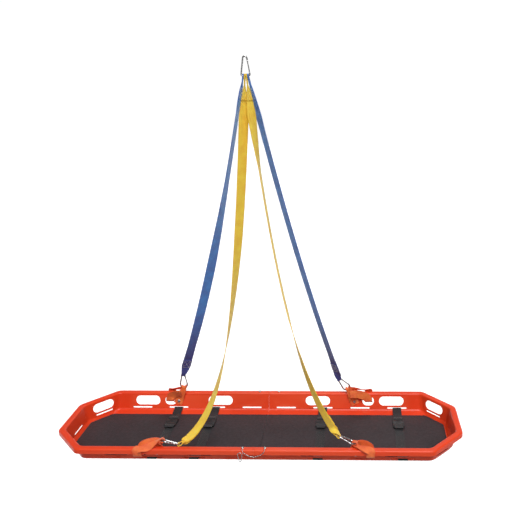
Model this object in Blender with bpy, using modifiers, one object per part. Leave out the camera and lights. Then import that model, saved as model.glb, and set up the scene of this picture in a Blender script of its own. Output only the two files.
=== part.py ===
"""Two-piece basket stretcher on a four-leg lifting sling.

Metres. X runs from the head (-X) to the feet (+X), +Y is the far side, Z is up, and the origin
is on the ground below the middle of the basket. Heights in the basket are drops from its rim.
"""
import math

import bmesh
import bpy
from mathutils import Matrix, Vector

# Clearances
GAP = 0.0003
HOLE_PLAY = 0.0004

# Basket outline, at the outer edge of the rim
LENGTH = 2.16
WIDTH = 0.62
END_WIDTH = 0.267
STRAIGHT_HALF = 0.911
CORNER_RADIUS = 0.045
CORNER_STEPS = 3

# Basket section: insets from the outer edge, drops from the rim's top
HEIGHT = 0.115
SHELL_WALL = 0.004
LIP_DROP = 0.028
LIP_WIDTH = 0.036
LIP_ROUND = 0.010
WALL_FOOT_INSET = 0.062
WALL_FOOT_CORNER_INSET = 0.048
WALL_FOOT_DROP = 0.092
FLOOR_INSET = 0.100
FLOOR_CORNER_INSET = 0.061

# Openings in the walls
HAND_HOLE_X = (0.290, 0.7245)
HAND_HOLE_LENGTH = 0.145
HAND_HOLE_HEIGHT = 0.052
HOLE_DROP = 0.043
CORNER_HOLE_LENGTH = 0.125
STRAP_HOLE_X = 0.588
STRAP_HOLE_LENGTH = 0.068
SLOT_X = (0.102, 0.320, 0.540, 0.757)
SLOT_LENGTH = 0.114
CORNER_SLOT_LENGTH = 0.100
SLOT_HEIGHT = 0.009
SLOT_DROP = 0.082

# Mats
MAT_THICKNESS = 0.012
MAT_MARGIN = 0.006

# Joining sleeves, sleeve bolts and lock pins
SLEEVE_RADIUS = 0.010
SLEEVE_WALL = 0.002
SLEEVE_HALF = 0.120
PIN_X = 0.057
PIN_RADIUS = 0.003
PIN_HEAD_RADIUS = 0.007
PIN_HEAD_HEIGHT = 0.005
PIN_TAIL = 0.003

# Tether chain and snap hook on the near side
CHAIN_RADIUS = 0.0025
CHAIN_DROP = 0.036
HOOK_LENGTH = 0.054
HOOK_WIDTH = 0.026
HOOK_NARROW = 0.014
HOOK_WIRE = 0.0018
HOOK_X = -0.068
HOOK_DROP = 0.010

# Webbing
WEBBING = 0.050
WEBBING_THICK = 0.0026
STRAP_THICK = 0.0018
STRAP_BEND = 0.0006
EYE = 0.055
SEWN = 0.060
EYE_WIDTH = 0.0064
EYE_GAP = 0.0012
EYE_PLAY = 0.0024
OPENING_OUT = 0.15
BUNCHED = 0.012
STRAP_STOP = 0.007
DRAPE_SHIFT = 0.002
RETURN_SHORT = 0.016

# Carabiners, also used as the hoist link
CARABINER_LENGTH = 0.096
CARABINER_WIDTH = 0.050
CARABINER_NARROW = 0.028
CARABINER_WIRE = 0.0042
GATE_START = 0.10
GATE_END = 0.86
GATE_PLAY = 0.0016
GATE_PIVOT = 0.005

# Anchor bolts on the walls, with their x by half (-1 is the head) and side (1 is far)
BOLT_X = {(-1, 1): 0.540, (1, 1): 0.507, (-1, -1): 0.507, (1, -1): 0.515}
BOLT_DROP = 0.047
BOLT_RADIUS = 0.004
BOLT_HEAD_RADIUS = 0.009
BOLT_HEAD_HEIGHT = 0.003
NUT_RADIUS = 0.0075
NUT_HEIGHT = 0.006

# Height of the hoist link's lower wire above the rim
APEX_RISE = 1.815

# Restraint straps and side-release buckles
STRAP_X = {"shoulder": -0.540, "chest": -0.320, "thigh": 0.320, "ankle": 0.757}
BUCKLE_Y = 0.110
BUCKLE_WIDTH = 0.062
BUCKLE_THICK = 0.012
BUCKLE_WALL = 0.003
FEMALE_LENGTH = 0.046
MALE_LENGTH = 0.026
BAR = 0.004
BAR_SLOT = 0.007
PRONG_WIDTH = 0.005
PRONG_LENGTH = 0.030

# Colours: red, green, blue, roughness, metallic
SHELL = (0.73, 0.045, 0.012, 0.38, 0.0)
FOAM = (0.030, 0.026, 0.028, 0.85, 0.0)
BLACK_WEB = (0.012, 0.012, 0.013, 0.80, 0.0)
BLACK_PLASTIC = (0.015, 0.015, 0.016, 0.45, 0.0)
ORANGE_WEB = (0.86, 0.16, 0.04, 0.75, 0.0)
YELLOW_WEB = (0.80, 0.52, 0.06, 0.75, 0.0)
BLUE_WEB = (0.06, 0.16, 0.50, 0.75, 0.0)
STEEL = (0.55, 0.55, 0.56, 0.28, 1.0)

RIM = HEIGHT
HALF_WIDTH = WIDTH / 2
WALL_SLOPE = math.atan((WALL_FOOT_INSET - LIP_WIDTH) / (WALL_FOOT_DROP - LIP_ROUND))
WIRE_CLEAR = CARABINER_WIRE + EYE_PLAY + WEBBING_THICK / 2
MAT_TOP = SHELL_WALL + GAP + MAT_THICKNESS
SLEEVE_Y = HALF_WIDTH - LIP_WIDTH / 2
SLEEVE_Z = RIM - SHELL_WALL - GAP - SLEEVE_RADIUS


def clear_scene():
    for obj in list(bpy.data.objects):
        bpy.data.objects.remove(obj, do_unlink=True)


def new_collection(name):
    found = bpy.data.collections.new(name)
    bpy.context.scene.collection.children.link(found)
    return found


def material(name, finish):
    red, green, blue, roughness, metallic = finish
    made = bpy.data.materials.new(name)
    made.use_nodes = True
    shader = made.node_tree.nodes["Principled BSDF"]
    shader.inputs["Base Color"].default_value = (red, green, blue, 1.0)
    shader.inputs["Roughness"].default_value = roughness
    shader.inputs["Metallic"].default_value = metallic
    return made


def add(name, data, finish):
    obj = bpy.data.objects.new(name, data)
    PARTS.objects.link(obj)
    obj.data.materials.append(material(name, finish))
    return obj


def add_bmesh(name, bm, finish):
    mesh = bpy.data.meshes.new(name)
    bm.to_mesh(mesh)
    bm.free()
    return add(name, mesh, finish)


def cutter(name, bm):
    mesh = bpy.data.meshes.new(name)
    bm.to_mesh(mesh)
    bm.free()
    obj = bpy.data.objects.new(name, mesh)
    CUTTERS.objects.link(obj)
    obj.hide_render = True
    obj.display_type = "WIRE"
    return obj


def boolean(obj, tool, operation="DIFFERENCE"):
    step = obj.modifiers.new(tool.name, "BOOLEAN")
    step.operation = operation
    step.solver = "EXACT"
    step.object = tool


def smooth(obj, degrees=35):
    obj.data.shade_smooth()
    obj.data.set_sharp_from_angle(angle=math.radians(degrees))


def solidify(obj, thickness, offset):
    shell = obj.modifiers.new("Thickness", "SOLIDIFY")
    shell.thickness = thickness
    shell.offset = offset
    shell.use_even_offset = True


def box(bm, centre, size, turn=None):
    matrix = Matrix.Translation(centre)
    if turn is not None:
        matrix = matrix @ turn.to_4x4()
    matrix = matrix @ Matrix.Diagonal((*size, 1.0))
    bmesh.ops.create_cube(bm, size=1.0, matrix=matrix)


def cylinder(bm, centre, axis, radius, length, segments=12):
    turn = Vector((0, 0, 1)).rotation_difference(Vector(axis)).to_matrix().to_4x4()
    bmesh.ops.create_cone(
        bm, cap_ends=True, segments=segments, radius1=radius, radius2=radius,
        depth=length, matrix=Matrix.Translation(centre) @ turn)


def stadium(bm, centre, along, through, length, height, depth, steps=4):
    """A bar of stadium section: length lies on along, and its depth on through."""
    along = Vector(along).normalized()
    through = Vector(through).normalized()
    up = through.cross(along)
    radius = height / 2
    outline = []
    for side, first in ((1, -90), (-1, 90)):
        for step in range(steps + 1):
            angle = math.radians(first + 180 * step / steps)
            offset = along * (side * (length / 2 - radius) + radius * math.cos(angle))
            outline.append(Vector(centre) + offset + up * (radius * math.sin(angle)))
    start = [bm.verts.new(point - through * depth / 2) for point in outline]
    end = [bm.verts.new(point + through * depth / 2) for point in outline]
    bm.faces.new(start)
    bm.faces.new(reversed(end))
    for index in range(len(outline)):
        after = (index + 1) % len(outline)
        bm.faces.new((start[index], end[index], end[after], start[after]))
    bmesh.ops.recalc_face_normals(bm, faces=bm.faces)


def catmull(points, count):
    """count points on a smooth curve through points."""
    points = [Vector(p) for p in points]
    padded = [2 * points[0] - points[1]] + points + [2 * points[-1] - points[-2]]
    spans = len(points) - 1
    curve = []
    for step in range(count):
        place = step / (count - 1) * spans
        span = min(int(place), spans - 1)
        t = place - span
        a, b, c, d = padded[span:span + 4]
        curve.append(0.5 * (2 * b + (c - a) * t + (2 * a - 5 * b + 4 * c - d) * t * t
                            + (3 * b - a - 3 * c + d) * t ** 3))
    return curve


def ribbon(name, path, hints, widths, thickness, finish):
    """Webbing along path. hints point across it, and widths give its width at each point."""
    bm = bmesh.new()
    rows = []
    for index, point in enumerate(path):
        before = path[max(index - 1, 0)]
        after = path[min(index + 1, len(path) - 1)]
        tangent = (after - before).normalized()
        side = hints[index] - hints[index].dot(tangent) * tangent
        side.normalize()
        half = side * widths[index] / 2
        rows.append((bm.verts.new(point - half), bm.verts.new(point + half)))
    for (a, b), (c, d) in zip(rows, rows[1:]):
        bm.faces.new((a, b, d, c))
    obj = add_bmesh(name, bm, finish)
    solidify(obj, thickness, 0.0)
    return obj


def wire(name, path, radius, finish, resolution=2, closed=False):
    curve = bpy.data.curves.new(name, "CURVE")
    curve.dimensions = "3D"
    curve.bevel_depth = radius
    curve.bevel_resolution = resolution
    curve.use_fill_caps = True
    spline = curve.splines.new("POLY")
    spline.points.add(len(path) - 1)
    for point, place in zip(spline.points, path):
        point.co = (*place, 1.0)
    spline.use_cyclic_u = closed
    return add(name, curve, finish)


# Basket

def wall_inset(drop):
    share = (drop - LIP_ROUND) / (WALL_FOOT_DROP - LIP_ROUND)
    return LIP_WIDTH + share * (WALL_FOOT_INSET - LIP_WIDTH)


def wall_inside(drop):
    """|y| of the long wall's inner face."""
    return HALF_WIDTH - wall_inset(drop)


def wall_outside(drop):
    return wall_inside(drop) + SHELL_WALL / math.cos(WALL_SLOPE)


def wall_normal(side):
    """The long wall's normal, pointing into the basket and up."""
    return Vector((0, -side * math.cos(WALL_SLOPE), math.sin(WALL_SLOPE)))


def corner_normal():
    run = Vector((LENGTH / 2 - STRAIGHT_HALF, END_WIDTH / 2 - HALF_WIDTH))
    return Vector((-run.y, run.x)).normalized()


def meet(normal_a, reach_a, normal_b, reach_b):
    """The point where two lines cross, each given by its normal and its distance."""
    matrix = Matrix((normal_a, normal_b))
    return matrix.inverted() @ Vector((reach_a, reach_b))


def rounded(corner, before, after, radius, steps):
    """Points of an arc that rounds a corner between two neighbours."""
    into = (before - corner).normalized()
    out = (after - corner).normalized()
    half = into.angle(out) / 2
    reach = radius / math.tan(half)
    centre = corner + (into + out).normalized() * (radius / math.sin(half))
    start = corner + into * reach - centre
    end = corner + out * reach - centre
    turn = start.angle_signed(end)
    points = []
    for step in range(steps + 1):
        angle = -turn * step / steps
        points.append(centre + Matrix.Rotation(angle, 2) @ start)
    return points


def half_outline(side_inset, corner_inset, start, radius=CORNER_RADIUS):
    """The foot half's outline at these insets, from the far side round to the near side."""
    side = Vector((0, 1))
    slant = corner_normal()
    end = Vector((1, 0))
    slant_reach = slant.dot(Vector((STRAIGHT_HALF, HALF_WIDTH))) - corner_inset
    a = meet(side, HALF_WIDTH - side_inset, slant, slant_reach)
    b = meet(slant, slant_reach, end, LENGTH / 2 - corner_inset)
    first = Vector((start, a.y))
    far = [first]
    far += rounded(a, first, b, radius, CORNER_STEPS)
    far += rounded(b, a, Vector((b.x, -b.y)), radius, CORNER_STEPS)
    return far + [Vector((p.x, -p.y)) for p in reversed(far)]


def shell_section():
    """(side inset, corner inset, drop) from the lip's edge over the rim to the floor."""
    section = [(0.0, 0.0, LIP_DROP)]
    for step in range(4):
        angle = math.radians(30 * step)
        inset = LIP_ROUND * (1 - math.cos(angle))
        section.append((inset, inset, LIP_ROUND * (1 - math.sin(angle))))
    for step in range(4):
        angle = math.radians(30 * step)
        inset = LIP_WIDTH - LIP_ROUND * (1 - math.sin(angle))
        section.append((inset, inset, LIP_ROUND * (1 - math.cos(angle))))
    section.append((WALL_FOOT_INSET, WALL_FOOT_CORNER_INSET, WALL_FOOT_DROP))
    section.append((FLOOR_INSET, FLOOR_CORNER_INSET, HEIGHT - SHELL_WALL))
    return section


def shell_cutters(name, sign):
    bm = bmesh.new()
    depth = 2 * (HALF_WIDTH - SHELL_WALL - LIP_ROUND)
    hole_z = RIM - HOLE_DROP
    slot_z = RIM - SLOT_DROP
    for x in HAND_HOLE_X:
        stadium(bm, (sign * x, 0, hole_z), (1, 0, 0), (0, 1, 0),
                HAND_HOLE_LENGTH, HAND_HOLE_HEIGHT, depth)
    stadium(bm, (sign * STRAP_HOLE_X, 0, hole_z), (1, 0, 0), (0, 1, 0),
            STRAP_HOLE_LENGTH, HAND_HOLE_HEIGHT, depth)
    for x in SLOT_X:
        stadium(bm, (sign * x, 0, slot_z), (1, 0, 0), (0, 1, 0),
                SLOT_LENGTH, SLOT_HEIGHT, depth, 2)
    slant = corner_normal()
    middle = Vector((LENGTH / 2 + STRAIGHT_HALF, END_WIDTH / 2 + HALF_WIDTH)) / 2
    reach = 2 * (wall_inset(HOLE_DROP) - SHELL_WALL - GAP)
    for side in (1, -1):
        normal = Vector((sign * slant.x, side * slant.y, 0))
        along = Vector((-normal.y, normal.x, 0))
        place = Vector((sign * middle.x, side * middle.y, 0))
        for drop, length, height, steps in (
                (HOLE_DROP, CORNER_HOLE_LENGTH, HAND_HOLE_HEIGHT, 4),
                (SLOT_DROP, CORNER_SLOT_LENGTH, SLOT_HEIGHT, 2)):
            centre = place - normal * wall_inset(drop)
            centre.z = RIM - drop
            stadium(bm, centre, along, normal, length, height, reach, steps)
        axis = wall_normal(side)
        bolt = Vector((sign * BOLT_X[sign, side], side * wall_inside(BOLT_DROP), RIM - BOLT_DROP))
        cylinder(bm, bolt, axis, BOLT_RADIUS + HOLE_PLAY, 0.03)
        cylinder(bm, (sign * PIN_X, side * SLEEVE_Y, RIM), (0, 0, 1),
                 PIN_RADIUS + HOLE_PLAY, 4 * SHELL_WALL)
    end = Vector((sign * (LENGTH / 2 - wall_inset(SLOT_DROP)), 0, slot_z))
    stadium(bm, end, (0, 1, 0), (1, 0, 0), CORNER_SLOT_LENGTH, SLOT_HEIGHT, reach, 2)
    return cutter(name, bm)


def shell(name, sign):
    bm = bmesh.new()
    rings = []
    for side_inset, corner_inset, drop in shell_section():
        outline = half_outline(side_inset, corner_inset, GAP / 2)
        rings.append([bm.verts.new((sign * p.x, p.y, RIM - drop)) for p in outline])
    faces = []
    for lower, upper in zip(rings, rings[1:]):
        for index in range(len(lower) - 1):
            faces.append((lower[index], upper[index], upper[index + 1], lower[index + 1]))
    faces.append(tuple(reversed(rings[-1])))
    for face in faces:
        bm.faces.new(face if sign > 0 else tuple(reversed(face)))
    obj = add_bmesh(name, bm, SHELL)
    solidify(obj, SHELL_WALL, -1.0)
    boolean(obj, shell_cutters(name + "_openings", sign))
    smooth(obj, 28)
    return obj


def mat(name, sign):
    outline = half_outline(FLOOR_INSET + MAT_MARGIN, FLOOR_CORNER_INSET + MAT_MARGIN, GAP)
    curve = bpy.data.curves.new(name, "CURVE")
    curve.dimensions = "2D"
    curve.fill_mode = "BOTH"
    curve.extrude = MAT_THICKNESS / 2
    spline = curve.splines.new("POLY")
    spline.points.add(len(outline) - 1)
    for point, place in zip(spline.points, outline):
        point.co = (sign * place.x, place.y, 0, 1)
    spline.use_cyclic_u = True
    obj = add(name, curve, FOAM)
    obj.location.z = SHELL_WALL + GAP + MAT_THICKNESS / 2


# Sleeves, sleeve bolts, lock pins

def sleeve(name, side):
    bm = bmesh.new()
    turn = Matrix.Rotation(math.radians(90), 4, "Y")
    bmesh.ops.create_cone(bm, cap_ends=False, segments=16, radius1=SLEEVE_RADIUS,
                          radius2=SLEEVE_RADIUS, depth=2 * SLEEVE_HALF, matrix=turn)
    obj = add_bmesh(name, bm, STEEL)
    obj.location = (0, side * SLEEVE_Y, SLEEVE_Z)
    solidify(obj, SLEEVE_WALL, -1.0)
    holes = bmesh.new()
    for x in (-PIN_X, PIN_X):
        cylinder(holes, (x, side * SLEEVE_Y, SLEEVE_Z), (0, 0, 1),
                 PIN_RADIUS + HOLE_PLAY, 4 * SLEEVE_RADIUS)
    boolean(obj, cutter(name + "_holes", holes))
    smooth(obj)


def turned(name, profile, finish, place, steps=12):
    """A solid of revolution about Z: profile holds (radius, height) from top to bottom."""
    bm = bmesh.new()
    verts = [bm.verts.new((radius, 0, height)) for radius, height in profile]
    for a, b in zip(verts, verts[1:]):
        bm.edges.new((a, b))
    obj = add_bmesh(name, bm, finish)
    obj.location = place
    turn = obj.modifiers.new("Turn", "SCREW")
    turn.steps = steps
    turn.render_steps = steps
    turn.use_merge_vertices = True
    turn.merge_threshold = 0.00001
    turn.use_smooth_shade = True
    return obj


def pin(name, x, side):
    bottom = SLEEVE_Z - SLEEVE_RADIUS - PIN_TAIL - RIM
    chamfer = PIN_RADIUS / 3
    profile = [
        (0, PIN_HEAD_HEIGHT + GAP),
        (PIN_HEAD_RADIUS - chamfer, PIN_HEAD_HEIGHT + GAP),
        (PIN_HEAD_RADIUS, PIN_HEAD_HEIGHT - chamfer + GAP),
        (PIN_HEAD_RADIUS, GAP),
        (PIN_RADIUS, GAP),
        (PIN_RADIUS, bottom + chamfer),
        (PIN_RADIUS - chamfer, bottom),
        (0, bottom),
    ]
    return turned(name, profile, STEEL, (x, side * SLEEVE_Y, RIM))


# Carabiners

def loop_arcs(length, width, narrow, flat, steps):
    """A snap hook's centre line in (u, v): its wide end at u = 0, its narrow end at length.
    flat is the half length of a straight base, or 0 for a round one. Returns the arc round
    the wide end and the arc round the narrow end, each from its own straight side on."""
    corner = width / 2 - flat
    slim = narrow / 2
    run = length - slim - corner
    spread = math.hypot(run, flat)
    lean = math.acos((corner - slim) / spread) - math.atan2(flat, run)
    wide_arc = []
    slim_arc = []
    turn = math.pi - lean
    for step in range(steps + 1):
        angle = lean + turn * step / steps
        wide_arc.append(Vector((corner + corner * math.cos(angle), flat + corner * math.sin(angle))))
    for step in range(0 if flat else 1, steps + 1):
        angle = math.pi + turn * step / steps
        wide_arc.append(Vector((corner + corner * math.cos(angle), corner * math.sin(angle) - flat)))
    for step in range(2 * steps + 1):
        angle = -lean + 2 * lean * step / (2 * steps)
        slim_arc.append(Vector((length - slim + slim * math.cos(angle), slim * math.sin(angle))))
    return wide_arc, slim_arc


def frame_of(wide_end, narrow_end, across):
    u = (narrow_end - wide_end).normalized()
    v = (across - across.dot(u) * u).normalized()
    return u, v, u.cross(v)


def carabiner(name, wide_end, narrow_end, across, size, finish=STEEL, resolution=2):
    """A pear-shaped snap hook: its wire, and the spring gate that closes its +v side."""
    length, width, narrow, radius, flat = size
    u, v, normal = frame_of(wide_end, narrow_end, across)
    wide_arc, slim_arc = loop_arcs(
        length - 2 * radius, width - 2 * radius, narrow - 2 * radius, flat, 4)
    foot = wide_arc[0]
    head = slim_arc[-1]
    gate_foot = foot.lerp(head, GATE_START)
    gate_head = foot.lerp(head, GATE_END)
    path = [gate_foot] + wide_arc + slim_arc + [gate_head]

    def to_world(p):
        return wide_end + u * p.x + v * p.y

    body = wire(name, [to_world(p) - wide_end for p in path], radius, finish, resolution)
    body.location = wide_end
    run = (head - foot).normalized()
    play = GATE_PLAY * radius / CARABINER_WIRE
    low = to_world(gate_foot + run * play / 2)
    high = to_world(gate_head - run * play)
    pivot = to_world(gate_head - run * (play + GATE_PIVOT * radius / CARABINER_WIRE))
    axis = (high - low).normalized()
    bm = bmesh.new()
    cylinder(bm, (low + high) / 2 - pivot, axis, radius * 0.8, (high - low).length, 10)
    gate = add_bmesh(name + "_gate", bm, finish)
    gate.location = pivot
    smooth(gate)


# Webbing

def catenary(start, end, length, count):
    """count points of a chain of this length that hangs between two points."""
    flat = Vector((end.x - start.x, end.y - start.y, 0))
    span = flat.length
    rise = end.z - start.z
    target = math.sqrt(max(length ** 2 - rise ** 2, span ** 2 * 1.000001)) / span
    low = 1e-4
    high = 6.0
    for _ in range(60):
        middle = (low + high) / 2
        if math.sinh(middle) / middle < target:
            low = middle
        else:
            high = middle
    a = span / (2 * low)
    shift = span / 2 - a * math.atanh(rise / length)
    base = start.z - a * math.cosh(-shift / a)
    points = []
    for step in range(count):
        first = math.sinh(-shift / a)
        last = math.sinh((span - shift) / a)
        place = shift + a * math.asinh(first + (last - first) * step / (count - 1))
        height = base + a * math.cosh((place - shift) / a)
        points.append(Vector((start.x, start.y, 0)) + flat * (place / span) + Vector((0, 0, height)))
    return points


def blend_list(stops, share):
    """The value at share on a list of (share, value) stops, straight between them."""
    for (a, low), (b, high) in zip(stops, stops[1:]):
        if share <= b:
            return low + (high - low) * (share - a) / (b - a)
    return stops[-1][1]


def leg(name, foot, foot_pull, foot_across, top, top_pull, top_across, length, turns, finish):
    """A sling leg: webbing with a sewn eye round a wire at each end.
    Each pull points out of its carabiner along the loop's middle, each across lies along the
    wire, and turns holds (share from foot to top, degrees of the width about Z from +X)."""
    count = 61
    spine = catenary(foot, top, length, count)
    tail = EYE + SEWN

    def at(s):
        place = s / length * (count - 1)
        index = min(int(place), count - 2)
        return spine[index].lerp(spine[index + 1], place - index)

    def across(s):
        angle = math.radians(blend_list(turns, s / length))
        level = Vector((math.cos(angle), math.sin(angle), 0))
        near_foot = max(0.0, 1 - s / EYE)
        near_top = max(0.0, 1 - (length - s) / EYE)
        mixed = level * (1 - near_foot - near_top) + foot_across * near_foot
        return (mixed + top_across * near_top).normalized()

    def layer(s, side):
        ahead = (at(min(s + 0.01, length)) - at(max(s - 0.01, 0))).normalized()
        hint = across(s)
        face = (hint - hint.dot(ahead) * ahead).normalized().cross(ahead)
        from_end = min(s, length - s)
        apart = WIRE_CLEAR
        if from_end > EYE * 0.35:
            share = min(1.0, (from_end - EYE * 0.35) / (EYE * 0.65))
            apart += ((WEBBING_THICK + GAP) / 2 + 0.0003 - WIRE_CLEAR) * share
        broad = EYE_WIDTH + (WEBBING - EYE_WIDTH) * min(1.0, max(0.0, from_end - 0.8 * EYE) / OPENING_OUT)
        return at(s) + face * apart * side, hint, broad

    rows = [layer(tail * (1 - step / 6), 1) for step in range(6)]
    face = foot_across.cross(foot_pull)
    for step in range(7):
        angle = math.pi * step / 6
        point = foot + (face * math.cos(angle) - foot_pull * math.sin(angle)) * WIRE_CLEAR
        rows.append((point, foot_across, EYE_WIDTH))
    rows += [layer(tail * step / 6, -1) for step in range(1, 6)]
    middle = 22
    rows += [layer(tail + (length - 2 * tail) * step / middle, -1) for step in range(middle + 1)]
    rows += [layer(length - tail * (1 - step / 6), -1) for step in range(1, 6)]
    face = top_across.cross(-top_pull)
    for step in range(7):
        angle = math.pi * step / 6
        point = top - (top_pull * math.sin(angle) + face * math.cos(angle)) * WIRE_CLEAR
        rows.append((point, top_across, EYE_WIDTH))
    rows += [layer(length - tail * step / 6, 1) for step in range(1, 7)]
    ribbon(name, [r[0] for r in rows], [r[1] for r in rows], [r[2] for r in rows],
           WEBBING_THICK, finish)


def lift_strap(name, sign, side, wide_end, u, v, normal, inner):
    """Webbing from the anchor bolt up round the carabiner's wire, over the rim, in through
    the strap hole and up again to the wire. inner is the side of the wire (+1 or -1 on
    normal) that the strap comes up on."""
    clear = WEBBING_THICK / 2 + 3 * GAP
    around = WIRE_CLEAR + 2 * GAP
    x_axis = Vector((1, 0, 0))
    bolt_x = BOLT_X[sign, side]
    reach = abs(wide_end.x)
    if v.x < 0:
        v = -v
    rise = wide_end.z - RIM
    climb = Vector((reach - bolt_x, 0, rise + BOLT_DROP)).normalized()
    up_wall = Vector((0, side * math.sin(WALL_SLOPE), math.cos(WALL_SLOPE)))
    level = climb.z * x_axis - sign * climb.x * up_wall

    def place(x, y, z):
        return Vector((sign * x, side * y, RIM + z))

    def on_wall(run, off):
        """A point on the strap's way from the bolt to the wire, off the wall's face."""
        drop = BOLT_DROP - climb.z * run
        return place(bolt_x + climb.x * run, wall_inside(drop) - clear - off, -drop)

    under = normal * (inner * around)
    lip = HALF_WIDTH - LIP_WIDTH
    drape = STRAP_HOLE_X + DRAPE_SHIFT
    rows = [
        (on_wall(-0.014, 0), level, WEBBING),
        (on_wall(0, 0), level, WEBBING),
        (on_wall(0.011, 0.0008), level, WEBBING),
        (on_wall(0.021, 0.0036), level, WEBBING),
        (on_wall(0.038, 0.0090), level, WEBBING * 0.6),
        (wide_end + under - u * 0.008, v, BUNCHED),
    ]
    for step in range(5):
        angle = math.pi * step / 4
        rows.append((wide_end + under * math.cos(angle) + u * (around * math.sin(angle)), v, BUNCHED))
    outer = HALF_WIDTH + clear + 0.0035
    back = reach + RETURN_SHORT
    rows += [
        (wide_end - under - u * 0.008, v, BUNCHED),
        (place(reach * 0.6 + drape * 0.4, HALF_WIDTH - 0.010, 0.011), x_axis, WEBBING * 0.7),
        (place(drape, outer, -0.004), x_axis, WEBBING),
        (place(drape, outer + 0.002, -0.016), x_axis, WEBBING),
        (place(drape, outer, -0.030), x_axis, WEBBING),
        (place(drape, outer - 0.012, -0.041), x_axis, WEBBING),
        (place(drape, wall_outside(HOLE_DROP), -0.046), x_axis, WEBBING),
        (place(drape, wall_inside(HOLE_DROP) - 0.006, -0.045), x_axis, WEBBING),
        (place(drape, wall_inside(HOLE_DROP) - 0.012, -0.036), x_axis, WEBBING),
        (place(drape * 0.9 + back * 0.1, wall_inside(0.02) - 0.017, -0.014),
         Vector((0.93, 0, sign * 0.30)), WEBBING),
        (place(drape * 0.65 + back * 0.35, lip - 0.021, 0.004),
         Vector((0.80, 0, sign * 0.55)), WEBBING * 0.9),
        (place(drape * 0.3 + back * 0.7, lip - 0.027, 0.4 * rise),
         Vector((0.65, 0, sign * 0.75)), WEBBING * 0.7),
        (place(back, lip - 0.029, 0.55 * rise), Vector((0.5, 0, sign * 0.86)), WEBBING * 0.6),
    ]
    count = 2 * len(rows)
    path = catmull([r[0] for r in rows], count)
    hints = catmull([r[1] for r in rows], count)
    widths = [w.x for w in catmull([Vector((r[2], 0, 0)) for r in rows], count)]
    obj = ribbon(name, path, hints, widths, WEBBING_THICK, ORANGE_WEB)
    bm = bmesh.new()
    axis = wall_normal(side)
    cylinder(bm, place(bolt_x, wall_inside(BOLT_DROP), -BOLT_DROP), axis, BOLT_RADIUS + HOLE_PLAY, 0.02)
    boolean(obj, cutter(name + "_hole", bm))


def anchor_bolt(name, sign, side):
    """A button-head bolt through strap and wall, with its nut run up on the outside."""
    head = WEBBING_THICK + 5 * GAP
    back = -SHELL_WALL - GAP
    chamfer = BOLT_HEAD_HEIGHT / 3
    profile = [
        (0, head + BOLT_HEAD_HEIGHT),
        (BOLT_HEAD_RADIUS * 0.7, head + BOLT_HEAD_HEIGHT),
        (BOLT_HEAD_RADIUS, head + chamfer),
        (BOLT_HEAD_RADIUS, head),
        (BOLT_RADIUS, head),
        (BOLT_RADIUS, back),
        (NUT_RADIUS + 0.002, back),
        (NUT_RADIUS + 0.002, back - 0.0012),
        (NUT_RADIUS, back - 0.0012),
        (NUT_RADIUS, back - NUT_HEIGHT),
        (BOLT_RADIUS, back - NUT_HEIGHT),
        (BOLT_RADIUS, back - NUT_HEIGHT - 0.002),
        (0, back - NUT_HEIGHT - 0.002),
    ]
    place = Vector((sign * BOLT_X[sign, side], side * wall_inside(BOLT_DROP), RIM - BOLT_DROP))
    obj = turned(name, profile, STEEL, place)
    axis = wall_normal(side)
    obj.rotation_mode = "QUATERNION"
    obj.rotation_quaternion = Vector((0, 0, 1)).rotation_difference(axis)


# Restraint straps and buckles

def buckle_height():
    return MAT_TOP + GAP + STRAP_THICK + GAP + BUCKLE_THICK / 2


def strap_half(name, x, side, bar_y):
    """Webbing from outside the wall, in through the slot, over the mat and round a bar.
    bar_y is |y| toward the wall of the bar's middle, with the sign of side."""
    clear = STRAP_THICK / 2 + GAP
    slot_z = RIM - SLOT_DROP
    lie = MAT_TOP + clear
    top = buckle_height() + BUCKLE_THICK / 2 + clear
    toward = 1 if side * bar_y < wall_inside(SLOT_DROP) else -1
    inner = bar_y * side - toward * (BAR / 2 + clear)
    outer = bar_y * side + toward * (BAR / 2 + clear)
    mat_edge = HALF_WIDTH - FLOOR_INSET - MAT_MARGIN
    floor_edge = HALF_WIDTH - FLOOR_INSET
    points = [
        (wall_outside(SLOT_DROP) + 0.0035, slot_z - STRAP_STOP),
        (wall_outside(SLOT_DROP) + 0.001, slot_z),
        (wall_inside(SLOT_DROP), slot_z + 0.0005),
        (wall_inside(SLOT_DROP) - 0.006, slot_z - 0.004),
        (floor_edge + 0.004, MAT_TOP + 0.006),
        (mat_edge - 0.010, lie + 0.0004),
        (mat_edge * 0.6 + outer * 0.4, lie),
        (outer + 0.008, lie),
        (inner + STRAP_BEND, lie),
        (inner, lie + STRAP_BEND),
        (inner, top - STRAP_BEND),
        (inner + STRAP_BEND, top),
        (outer + 0.018, top),
    ]
    path = [Vector((x, side * y, z)) for y, z in points]
    count = len(path)
    axis = Vector((1, 0, 0))
    ribbon(name, path, [axis] * count, [WEBBING] * count, STRAP_THICK, BLACK_WEB)


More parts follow.
